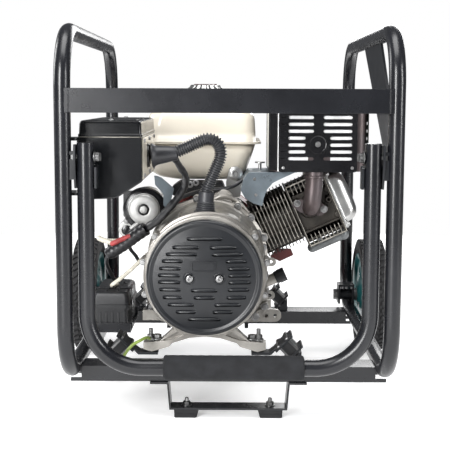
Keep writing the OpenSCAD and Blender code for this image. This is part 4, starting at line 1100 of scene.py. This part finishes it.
def make_feet():
    """Rubber pads, upright on the outer side and slanted on the inner side."""
    rubber = Shape()
    for side in (-1, 1):
        rings = []
        for z, inset in ((0, 1.6), (0.5, 0.6), (1.6, 0.1), (7, 0), (7.6, 0.7), (8.4, 0.7), (9, 0), (15.9, 0)):
            outer = side * (FOOT_X + 23.5 + 0.03 * z - inset)
            inner = side * (FOOT_X - 20 - 0.25 * z + inset)
            rings.append(flat_ring(z, *sorted((outer, inner)), FRONT_RAIL - 20 + inset,
                                   FRONT_RAIL + 20 - inset, 3))
        rubber.loft(rings)
    piece(rubber, "foot_pads", "foot_rubber", replaces=("rubber_feet",))


def make_frame_nuts():
    nuts = Shape()
    for x in (-FOOT_X, FOOT_X):
        nuts.hex_bolt((x, FRONT_RAIL, 20), Z, 13, 7, stud=7)
        nuts.hex_bolt((x * 1.5, FRONT_RAIL, 105), Z, 13, 6)
    for side in (-1, 1):
        nuts.hex_bolt((side * 239.2, HANDLE_Y, 510), X * -side, 14, 8, stud=2)
        nuts.hex_bolt((side * 229, HANDLE_Y, 510), X * -side, 14, 2, washer=False)
        for y in (-262, 262):
            nuts.socket_screw((side * 288, y, 105), Z, 12, 3)
    piece(nuts, "frame_nuts", "dark_steel", bevel=0.3)


def make_weld_beads():
    """Rows of small drops where the crossbars and the rails meet the hoops."""
    beads = Shape()
    bar_drop = [(0, -2), (1.8, -1.4), (2.4, 0), (1.8, 1.4), (0, 2)]
    rail_drop = [(0, -2.4), (2.2, -1.6), (3, 0), (2.2, 1.6), (0, 2.4)]
    for side in (-1, 1):
        for y in (HANDLE_Y, 376):
            for k in range(12):
                x = side * (281.6 + 0.5 * math.sin(k * 2.3))
                for dy in (-12.6, 12.6):
                    beads.lathe(bar_drop, frame_at((x, y + dy, 590 + 3.4 * k), Y), 10)
        for y in (FRONT_RAIL, REAR_RAIL):
            for k in range(12):
                x = side * (283 + 0.6 * math.sin(k * 1.7))
                beads.lathe(rail_drop, frame_at((x, y - 26 + 4.7 * k, 103.5), Z), 10)
    piece(beads, "weld_beads", "frame_paint", smooth=60)


def make_mounts():
    """Moulded rubber blocks with their bonded plates."""
    rubber, plates = Shape(), Shape()
    for y in (FRONT_RAIL, REAR_RAIL):
        for side in (-1, 1):
            face = Vector((side * 0.7071, 0, 0.7071))
            mid = frame_at((CRANK[0] + side * 162, y, 138), face, Y)

            def put(a, b, c, mid=mid):
                return mid @ Vector((a, b, c))

            for h in (-13, 9):
                plates.slab(round_rect(-26, 26, -21, 21, 4), h, h + 4, put)
            rings = []
            for k in range(9):
                h = -9 + 18 * k / 8
                waist = 2.6 * math.sin(math.pi * k / 8)
                rings.append([put(a, b, h) for a, b in
                              round_rect(-27 + waist, 27 - waist, -21 + waist, 21 - waist, 4)])
            rubber.loft(rings)
    piece(rubber, "mount_blocks", "foot_rubber", replaces=("mount_rubbers",))
    piece(plates, "bonded_plates", "dark_steel", bevel=0.5)


# ---------- control box and wiring ----------

BOX_OUTLINE = ((-276, 543), (-276, 440), (-262, 428), (-208, 430), (-160, 461), (-160, 543))


def make_control_box():
    box = Shape()
    outline = round_corners(BOX_OUTLINE, (0.5, 6, 8, 26, 12, 0.5), 8)
    mid_x, mid_z = BOX_MIDDLE
    rings = []
    for y, inset in ((-340, 2.4), (-339.2, 0.9), (-337, 0), (-22, 0), (-20.4, 1), (-20, 2.4)):
        rings.append([Vector((mid_x + (x - mid_x) * (1 - inset / 58), y,
                              mid_z + (z - mid_z) * (1 - inset / 58))) for x, z in outline])
    box.loft(rings)
    box.lathe([(18, 0), (18, 6), (21.6, 6), (23, 4.8), (23, 0)], frame_at((-160.5, -215, 503), X), 40)
    for z in (440, 538):
        box.box((-290, -389, z), (-272, -334, z + 5))
    # folded flanges round the front and the back of the box
    grown = [(mid_x + (x - mid_x) * 1.009, mid_z + (z - mid_z) * 1.008) for x, z in outline]
    for y in (-318, -44):
        box.slab(grown, 0, 2.0, to_xz(y))
    piece(box, "box_shell", "box_paint", replaces=("control_box",), bevel=0.8, smooth=50)


def make_box_lid():
    lid = Shape()
    lid.loft([flat_ring(z, -277 + inset, -159 - inset, -341.5 + inset, -18.5 - inset, r) for z, inset, r in
              ((543.3, 0, 6), (547.5, 0, 6), (548.6, 1.6, 6), (566, 2.0, 7), (570.5, 3.4, 8),
               (572.4, 6, 8), (573, 9, 8))])
    for y in (-250, -110):
        lid.slab(round_rect(-262, -174, y - 45, y + 45, 8), 0, 1.2, to_xy(572.6))
    piece(lid, "box_lid", "box_paint", replaces=("control_lid",), bevel=0.3, smooth=50)
    # bright thin ring just under the lid: a painted highlight along the lid's edge
    lip = Shape()
    lip.slab(round_rect(-277.6, -158.4, -342.2, -17.8, 6.5), 0, 0.9, to_xy(542.3),
             [round_rect(-275, -161, -339, -21, 5)])
    piece(lip, "lid_lip_highlight", "painted_edge_highlight", bevel=0.2)


def make_side_plate():
    """Pale plate on the box's inner side, round the conduit, and the screws all round the box."""
    plate = Shape()
    plate.slab(round_rect(-326, -36, 464, 541, 4), 0, 1.0, to_yz(-159.8), [arc(-215, 503, 25, 0, 350, 35)])
    piece(plate, "box_side_plate", "tank_paint", bevel=0.3)
    screws = Shape()
    for y in (-300, -180, -60):
        for z in (470, 535):
            screws.socket_screw((-158.8, y, z), X, 8, 3)
    for y in (-320, -40):
        for z in (451, 533):
            screws.socket_screw((-279.1, y, z), -X, 7, 2.6)
    for y in (-318, -42):
        screws.socket_screw((BOX_MIDDLE[0], y, 572.6), Z, 9, 3)
    screws.hex_bolt((-250, -340, 486), -Y, 10, 5)
    piece(screws, "box_screws", "bright_steel", bevel=0.2)


def make_panel():
    """What a user sees on the far side: bezels, dial marks, vents and socket rings."""
    rims = Shape()
    for y, z, r, out in ((-290, 478, 19, 3), (-240, 478, 19, 3), (*DIAL, 22, 1.6), (DIAL[0], 462, 12, 1.6)):
        rims.lathe([(r - 4, 0), (r - 4, out), (r - 1, out), (r, out - 0.8), (r + 0.6, 0)],
                   frame_at((BOX_SIDE, y, z), -X), 40)
    for k in range(11):
        a = math.radians(-135 + 27 * k - 90)
        y, z = DIAL[0] + 25.5 * math.cos(a), DIAL[1] + 25.5 * math.sin(a)
        rims.rod(1.8, (-279.2, y, z), (-280.2, y, z), 12, 0.3)
    for k in range(5):
        rims.slab(capsule(-68, -40, 458 + 6 * k, 2.4, 4), 0, 1, to_yz(BOX_SIDE, -1))
    piece(rims, "panel_rims", "light_plastic", bevel=0.2)
    rings = Shape()
    for y in (-290, -240):
        rings.lathe([(6.7, -6), (6.7, 12.4), (8.6, 12.4), (9.2, 11.6)], frame_at((BOX_SIDE, y, 478), -X), 32)
    piece(rings, "socket_rings", "copper")


def make_dial():
    knob = Shape()
    y, z = DIAL
    rings = [[Vector((x, y + a * s, z + b * s)) for a, b in wavy_circle(18.4, 0.6, 16, 96)]
             for s, x in ((0.97, -283), (1, -284), (1, -296), (0.94, -299.4), (0.8, -300.6), (0.3, -300.9))]
    knob.loft(rings)
    knob.box((-301, y - 2, z - 6), (-298, y + 2, z + 17))
    piece(knob, "dial", "black_plastic", body="current_knob", replaces=("current_knob",), smooth=50)


CONDUIT = ((-124, -215, 505.6), (-112, -215, 507.5), (-96, -216, 513), (-74, -218, 523), (-56, -220, 531),
           (-42, -221, 535), (-29, -221, 532), (-20, -220, 522), (-17, -219, 508), (-20, -218, 493),
           (-27, -216, 476), (-35, -215, 458), (-42, -214, 442), (-46, -213, 428))
HARNESS = ((-114, -207, 503), (-106, -200, 494), (-97, -188, 478), (-88, -176, 462), (-88, -164, 443),
           (-100, -152, 420), (-120, -134, 394), (-150, -92, 360), (-182, -48, 336), (-204, 4, 318),
           (-214, 58, 312), (-222, 84, 314))
STARTER_BOOT = ((-176, -60, 340), (-196, -56, 326), (-222, -48, 306), (-246, -42, 290), (-262, -40, 281))
STARTER_TAIL = ((-258, -40, 282), (-264, -32, 262), (-258, -10, 236), (-248, 16, 210))
CARBURETTOR_WIRE = ((-110, -140, 404), (-96, -110, 412), (-60, -60, 420), (0, -20, 424), (30, 0, 440))
SHORT_WIRE = ((-214, -44, 300), (-210, -30, 288), (-202, -20, 276), (-196, -10, 262))
CREAM_WIRE = ((-160, -66, 296), (-186, -62, 273), (-208, -60, 252), (-232, -58, 231), (-250, -50, 216),
              (-244, 0, 208))
CREAM_SLEEVE = ((-248, -46, 306), (-262, -36, 309), (-278, -20, 312), (-284, 10, 310), (-276, 40, 300),
                (-250, 60, 296))
RED_SLEEVE = ((-208, -62, 324), (-222, -60, 319), (-238, -56, 311), (-251, -50, 305))
EARTH = ((-206, -330, 112), (-200, -336, 124), (-192, -338, 140), (-180, -336, 154), (-166, -328, 161),
         (-156, -308, 162), (-151, -288, 155))


def ribs(pitch, high, low):
    """Radius of a ribbed sleeve at a distance along it."""
    return lambda gone: high if (gone / pitch) % 1 < 0.55 else low


def make_conduit():
    """Corrugated hose with a boot at the box and a collar on the alternator."""
    hose = Shape()
    pitch, crest, valley, flank = 4.8, 12.5, 9.2, 10.9

    def corrugation(gone):
        t = (gone / pitch) % 1
        if t < 0.48:
            return crest
        return valley if 0.58 < t < 0.90 else flank

    hose.tube(even_path(smooth_path(CONDUIT, 24), 0.6), corrugation, 24)
    boot = [(22.4, 0), (23.6, 0.6), (23.9, 2.4), (23.2, 4), (20.6, 7), (18.8, 12), (17.6, 20),
            (16.6, 28), (15.4, 35), (14.4, 40), (14, 48), (13.6, 50), (12.2, 50)]
    hose.lathe(boot, frame_at((-151.6, -215, 502.6), (0.996, 0, 0.087)), 40)
    collar = [(12.4, 40), (14.6, 40), (15.2, 38.6), (15.2, 22)]
    for k in range(5):
        h = 20 - 4 * k
        collar += [(15.6 + 0.6 * k, h + 1.2), (17.4 + 0.6 * k, h), (17.4 + 0.6 * k, h - 1.2),
                   (15.8 + 0.6 * k, h - 2.2)]
    collar += [(20, 1.4), (22.6, 1.2), (22.6, -1)]
    hose.lathe(collar, frame_at((-47, -213, 392), (0.06, -0.01, 1)), 40)
    piece(hose, "corrugated_hose", "conduit_plastic", replaces=("conduit_hose",), smooth=50)


def make_sleeves():
    """Black harness, starter lead in its thick boot, and the thin wires behind them."""
    sleeve = Shape()
    sleeve.tube(smooth_path(HARNESS, 10),
                lambda gone: 9.2 + 0.7 * math.sin(gone * 0.19) + 0.4 * math.sin(gone * 0.47 + 1), 20,
                flat=0.72, side=Y)
    sleeve.tube(smooth_path(STARTER_BOOT, 10),
                lambda gone: (14.6 - 0.008 * gone + 0.5 * math.sin(gone * 0.5)
                              - 5 * max(0, (gone - 96) / 12) ** 2), 28)
    for route, steps, radius, segs in ((STARTER_TAIL, 8, 4.2, 16), (CARBURETTOR_WIRE, 8, 4.2, 14),
                                       (SHORT_WIRE, 6, 4, 12)):
        sleeve.tube(smooth_path(route, steps), radius, segs)
    sleeve.lathe([(0, 0), (13, 0), (15, 3), (13, 8), (0, 9)], frame_at((-208, -46, 318), (0.4, -1, 0.6)), 28)
    piece(sleeve, "cable_sleeves", "cable", replaces=("wiring",), smooth=60)


def make_light_cables():
    light = Shape()
    light.tube(smooth_path(CREAM_WIRE, 8), 4.4, 14)
    light.tube(even_path(smooth_path(CREAM_SLEEVE, 12), 0.9), ribs(4.6, 5.6, 4.5), 16)
    piece(light, "light_cables", "cream_wire", smooth=50)
    red = Shape()
    red.tube(even_path(smooth_path(RED_SLEEVE, 12), 0.9), ribs(3.8, 5.8, 4.8), 16)
    piece(red, "red_sleeve", "red_sleeve", smooth=50)
    earth = Shape()
    earth.tube(smooth_path(EARTH, 10), 2.9, 16)
    piece(earth, "earth_strap", "earth_wire", smooth=60)


def make_cable_ends():
    ends = Shape()
    for place in ((-206, -330, 110), (-151, -284, 153)):
        ends.lathe([(0, 0), (8, 0), (8, 2), (0, 2)], frame_at(place, Z), 24)
    ends.hex_bolt((-151, -284, 155), Z, 10, 5)
    for x, z in ((-84, 430), (-72, 434)):
        ends.lathe([(3, 0), (3, 4), (6, 4), (7, 3), (7, 0)], frame_at((x, -20, z), -Y), 24)
    piece(ends, "cable_ends", "bright_steel", bevel=0.2)


# ---------- starter, battery and the rear ----------

def make_starter():
    """End cap, body, solenoid and the black band round the body's front."""
    body = Shape()
    front = frame_at((STARTER[0], 60, STARTER[1]), -Y, X)
    for profile in (((0, 6), (4.5, 6), (5.5, 5), (8, 4.6), (8.4, 0.4), (13, 0.2), (14.5, 1.0), (17, 1.2),
                     (26, 1.0), (31, 0), (33.2, -2), (34, -5), (34, -14)),
                    ((34, -14), (41, -15.4), (45, -17.6), (46.4, -21), (46.4, -26)),
                    ((42, -38), (42, -126), (40, -130), (0, -130))):
        body.lathe(profile, front, 64)
    for angle in (30, 150, 270):
        a = math.radians(angle)
        spot = Vector((STARTER[0] + 41 * math.cos(a), 80, STARTER[1] + 41 * math.sin(a)))
        body.rod(12, spot, spot + Y * 100, 20, 2)
    x, z = SOLENOID
    body.rod(39, (x, 98, z), (x, 168, z), 40, 3)
    body.lathe([(0, 0), (13, 0), (16, 3), (16, 8), (0, 8)], frame_at((x, 99, z), -Y), 32)
    body.box((-226, 110, 320), (-206, 150, 345))
    body.rod(9, (-222, 76, 322), (-200, 72, 340), 16, 2)
    body.rod(14, (-214, 80, 326), (-214, 98, 326), 20, 2)
    piece(body, "starter_body", "starter_metal", replaces=("starter_motor",),
          bevel=0.5, smooth=45)
    band = Shape()
    shoulder = [(35.5, -14.2), (41, -14.8), (46, -16.8), (48, -20), (48, -33), (47, -36), (42, -38)]
    band.lathe(shoulder, front, 64)
    band.lathe([(8.6, 0.6), (9.2, 1.4), (12.4, 1.2), (13, 0.4)], front, 40)
    band.lathe([(0, 4), (9, 4), (11, 8), (11, 12), (7, 13), (0, 13)], frame_at((x, 96, z), -Y), 28)
    piece(band, "starter_band", "black_paint", bevel=0.3)
    bolts = Shape()
    for x, z in ((-232, 338), (-214, 326), (-205, 343)):
        bolts.hex_bolt((x, 92, z), -Y, 9, 5)
    piece(bolts, "starter_bolts", "bright_steel", bevel=0.2)


def make_starter_shield():
    plate = Shape()
    plate.slab(round_corners([(-166, 446), (-150, 440), (-122, 416), (-132, 378), (-146, 374), (-146, 404),
                              (-164, 424)], 6), 0, 2.5, to_xz(44))
    plate.slab(round_corners([(-168, 446), (-150, 440), (-142, 428), (-158, 424)], 3), -1.6, 0.2, to_xz(44))
    piece(plate, "starter_shield", "shroud_paint", bevel=0.4)


def make_governor_cowl():
    """Dark ribbed covers that close the gap under the tank and behind the starter."""
    cowl = Shape()
    cowl.slab(round_corners([(-126, 398), (-22, 398), (-10, 412), (-16, 428), (-112, 429), (-130, 416)], 6),
              0, 74, to_xz(62))
    for k in range(6):
        cowl.box((-112 + 15 * k, 60.6, 404), (-108 + 15 * k, 62.4, 422))
    cowl.slab(round_rect(-250, -160, 334, 396, 6), 0, 18, to_xz(196))
    for k in range(5):
        cowl.slab(capsule(-246, -196, 342 + 12 * k, 5, 4), -2.4, 0.4, to_xz(196))
    piece(cowl, "governor_cowl", "black_plastic", bevel=0.8)


def make_battery_case():
    case = Shape()
    left, right, front, rear = -286, -215, -74, 96
    case.loft([flat_ring(z, left - grow, right + grow, front - grow, rear + grow, 8) for z, grow in
               ((122.6, -3), (124, -0.5), (150, 0.2), (166, 0.8), (170.2, 1))])
    for y in range(-60, 90, 18):
        for x in (-286.6, -214.4):
            case.box((x - 0.8, y, 126), (x + 0.8, y + 7, 164))
    for x in range(-276, -222, 13):
        case.box((x, -75.6, 127), (x + 5, -73.8, 163))
    piece(case, "battery_case", "black_plastic", replaces=("battery_box",), bevel=0.5)


def make_battery_lid():
    lid = Shape()
    left, right, front, rear = -291, -210, -77, 99
    lid.loft([flat_ring(z, left + inset, right - inset, front + inset, rear - inset, r) for z, inset, r in
              ((170.4, 0, 9), (178, 0, 9), (179.2, 1.8, 9), (196, 2.4, 9), (202, 4.6, 10),
               (205.4, 9, 10), (206, 14, 8))])
    for x in (-262, -238):
        lid.slab(round_rect(x - 4, x + 4, -60, 82, 3), 0, 1.6, to_xy(206))
    lid.lathe([(9, 0), (9, 1.6), (12, 1.6), (13, 0)], Matrix.Translation((-238, 30, 206)), 32)
    piece(lid, "battery_top", "black_plastic", replaces=("battery_lid",), bevel=0.4, smooth=50)


def make_battery_strap():
    strap = Shape()
    outer = round_rect(-293, -208, 120.6, 207.8, 5)
    inner = round_rect(-291.4, -209.6, 119.2, 206.4, 4)
    strap.slab(outer, 0, 16, to_xz(-36), [inner])
    strap.hex_bolt((-250, -28, 207.4), Z, 8, 4)
    piece(strap, "battery_strap", "black_paint", bevel=0.3)


FAN_BOLTS = [45 + 90 * k for k in range(4)]


def make_fan_details():
    """Ribs, bead and bosses of the fan housing, and rings on the recoil cover."""
    fan = Shape()
    for k in range(18):
        mid = frame_at(ring_spot(128.4, 20 * k, 150), outward(20 * k), Y)
        fan.box((0, -3, -1.6), (92, 3, 1.0), mid)
    fan.lathe([(126, 0), (128.2, 1), (129.4, 3), (129.4, 7), (128.2, 9), (126, 10)], fan_axis(242), 96)
    for angle in FAN_BOLTS:
        spot = ring_spot(121, angle, 236)
        fan.rod(16, spot, spot + Y * 15, 24, 2)
    piece(fan, "fan_ribs", "fan_paint", bevel=0.5)
    grille = Shape()
    for r in (34, 46, 58, 70):
        grille.lathe([(r, 0), (r + 1, 1.6), (r + 3, 1.6), (r + 4, 0)], fan_axis(297.6), 72)
    grille.lathe([(0, 4.4), (10, 4.4), (22, 3), (26, 0)], fan_axis(297.6), 48)
    piece(grille, "recoil_rings", "fan_paint", bevel=0.3)


def make_rear_screws():
    screws = Shape()
    for angle in FAN_BOLTS:
        screws.hex_bolt(ring_spot(121, angle, 251.5), Y, 10, 5)
    for y in (140, 200, 246):
        screws.socket_screw((272, y, 575), X, 9, 3)
    screws.hex_bolt((192, 262, 522), Y, 12, 6)
    piece(screws, "rear_screws", "bright_steel", bevel=0.2)


def make_air_cleaner_ribs():
    ribbing = Shape()
    ribbing.slab(round_rect(111, 273, 127, 263, 14), 0, 5, to_xy(528), [round_rect(114, 270, 130, 260, 12)])
    for k in range(6):
        ribbing.slab(capsule(142, 242, 544 + 7 * k, 3.2, 4), 0, 1.4, to_xz(261.6))
    piece(ribbing, "air_cleaner_ribs", "black_plastic", bevel=0.5)


def make_shroud_details():
    """Screws and seams of the shroud, the lower red sheet and the stay beside the muffler."""
    shape = Shape()
    for x, z in ((53, 444), (56, 410)):
        shape.socket_screw((x, -40, z), -Y, 7, 2.4)
    piece(shape, "shroud_screws", "bright_steel", bevel=0.2)
    seam = Shape()
    seam.slab([(63, 404), (65, 404), (65.4, 456), (63.4, 456)], -0.9, 0, to_xz(-40))
    seam.slab(round_corners([(24, 420), (30, 444), (40, 458), (44, 458), (35, 442), (30, 420), (38, 405),
                             (34, 402)], 2), -1.2, 0, to_xz(-40))
    piece(seam, "shroud_seams", "shroud_paint", bevel=0.3)
    sheet = Shape()
    sheet.slab(round_corners([(88, 272), (110, 262), (140, 276), (134, 290), (104, 290)], 3), 0, 4, to_xz(-2))
    piece(sheet, "lower_shroud", "dark_red", bevel=0.4)
    gap = Shape()
    gap.box((81, -40, 470), (83.6, 20, 596))
    piece(gap, "muffler_stay", "light_plastic", bevel=0.3)


# ---------- finishes of the CAD nodes ----------

# look and width of the softened edges
FINISHES = {
    "left_hoop": ("frame_paint", 0), "right_hoop": ("frame_paint", 0),
    "handle_tube": ("frame_paint", 0), "cross_members": ("frame_paint", 2.2, 3),
    "side_brace": ("bracket_steel", 0.8), "foot_bracket": ("frame_paint", 1.0),
    "axle_brackets": ("bracket_steel", 1.2), "handle_brackets": ("bracket_steel", 0.9),
    "battery_tray": ("frame_paint", 0.8), "engine_cradle": ("bracket_steel", 1.2),
    "mount_brackets": ("bracket_steel", 0.8), "pivot_bolts": ("dark_steel", 0.4),
    "stator": ("copper_iron", 0), "rotor": ("copper_iron", 0),
    "studs_and_screws": ("bright_steel", 0.3), "crankshaft": ("machined", 0),
    "piston": ("piston_metal", 0), "cylinder_shroud": ("shroud_paint", 0.7),
    "muffler": ("exhaust_metal", 2.5), "air_cleaner": ("black_plastic", 2.0),
    "carburettor": ("casting", 0.8), "choke_lever": ("black_plastic", 0.5),
    "fan_housing": ("fan_paint", 1.2), "flywheel": ("casting", 0),
    "recoil_cover": ("fan_paint", 1.0), "recoil_grip": ("black_plastic", 1.6),
    "spark_plug": ("plug_metal", 0.6), "dipstick": ("black_plastic", 1.0),
    "control_panel": ("box_paint", 0.5), "weld_sockets": ("black_plastic", 0.5),
    "outlet_flap": ("flap_plastic", 1.2), "key_switch": ("bright_steel", 0.4),
    "breaker_lever": ("light_plastic", 0.6), "battery": ("black_plastic", 0),
    "alternator_foot": ("casting", 2.0), "alternator_housing": ("casting", 1.0),
    "crankcase": ("casting", 2.0),
}


make_camera()
make_studio()
for node, finish in FINISHES.items():
    dress_cad(node, *finish)
make_alternator_cover()
make_alternator_details()
make_crankcase_details()
make_cylinder()
make_head()
make_exhaust()
make_guard()
make_tank()
for side in (-1, 1):
    tyre_tread(side)
    wheel_disc(side)
make_grip()
make_feet()
make_frame_nuts()
make_weld_beads()
make_mounts()
make_control_box()
make_box_lid()
make_side_plate()
make_panel()
make_dial()
make_conduit()
make_sleeves()
make_light_cables()
make_cable_ends()
make_starter()
make_starter_shield()
make_governor_cowl()
make_battery_case()
make_battery_lid()
make_battery_strap()
make_fan_details()
make_rear_screws()
make_air_cleaner_ribs()
make_shroud_details()
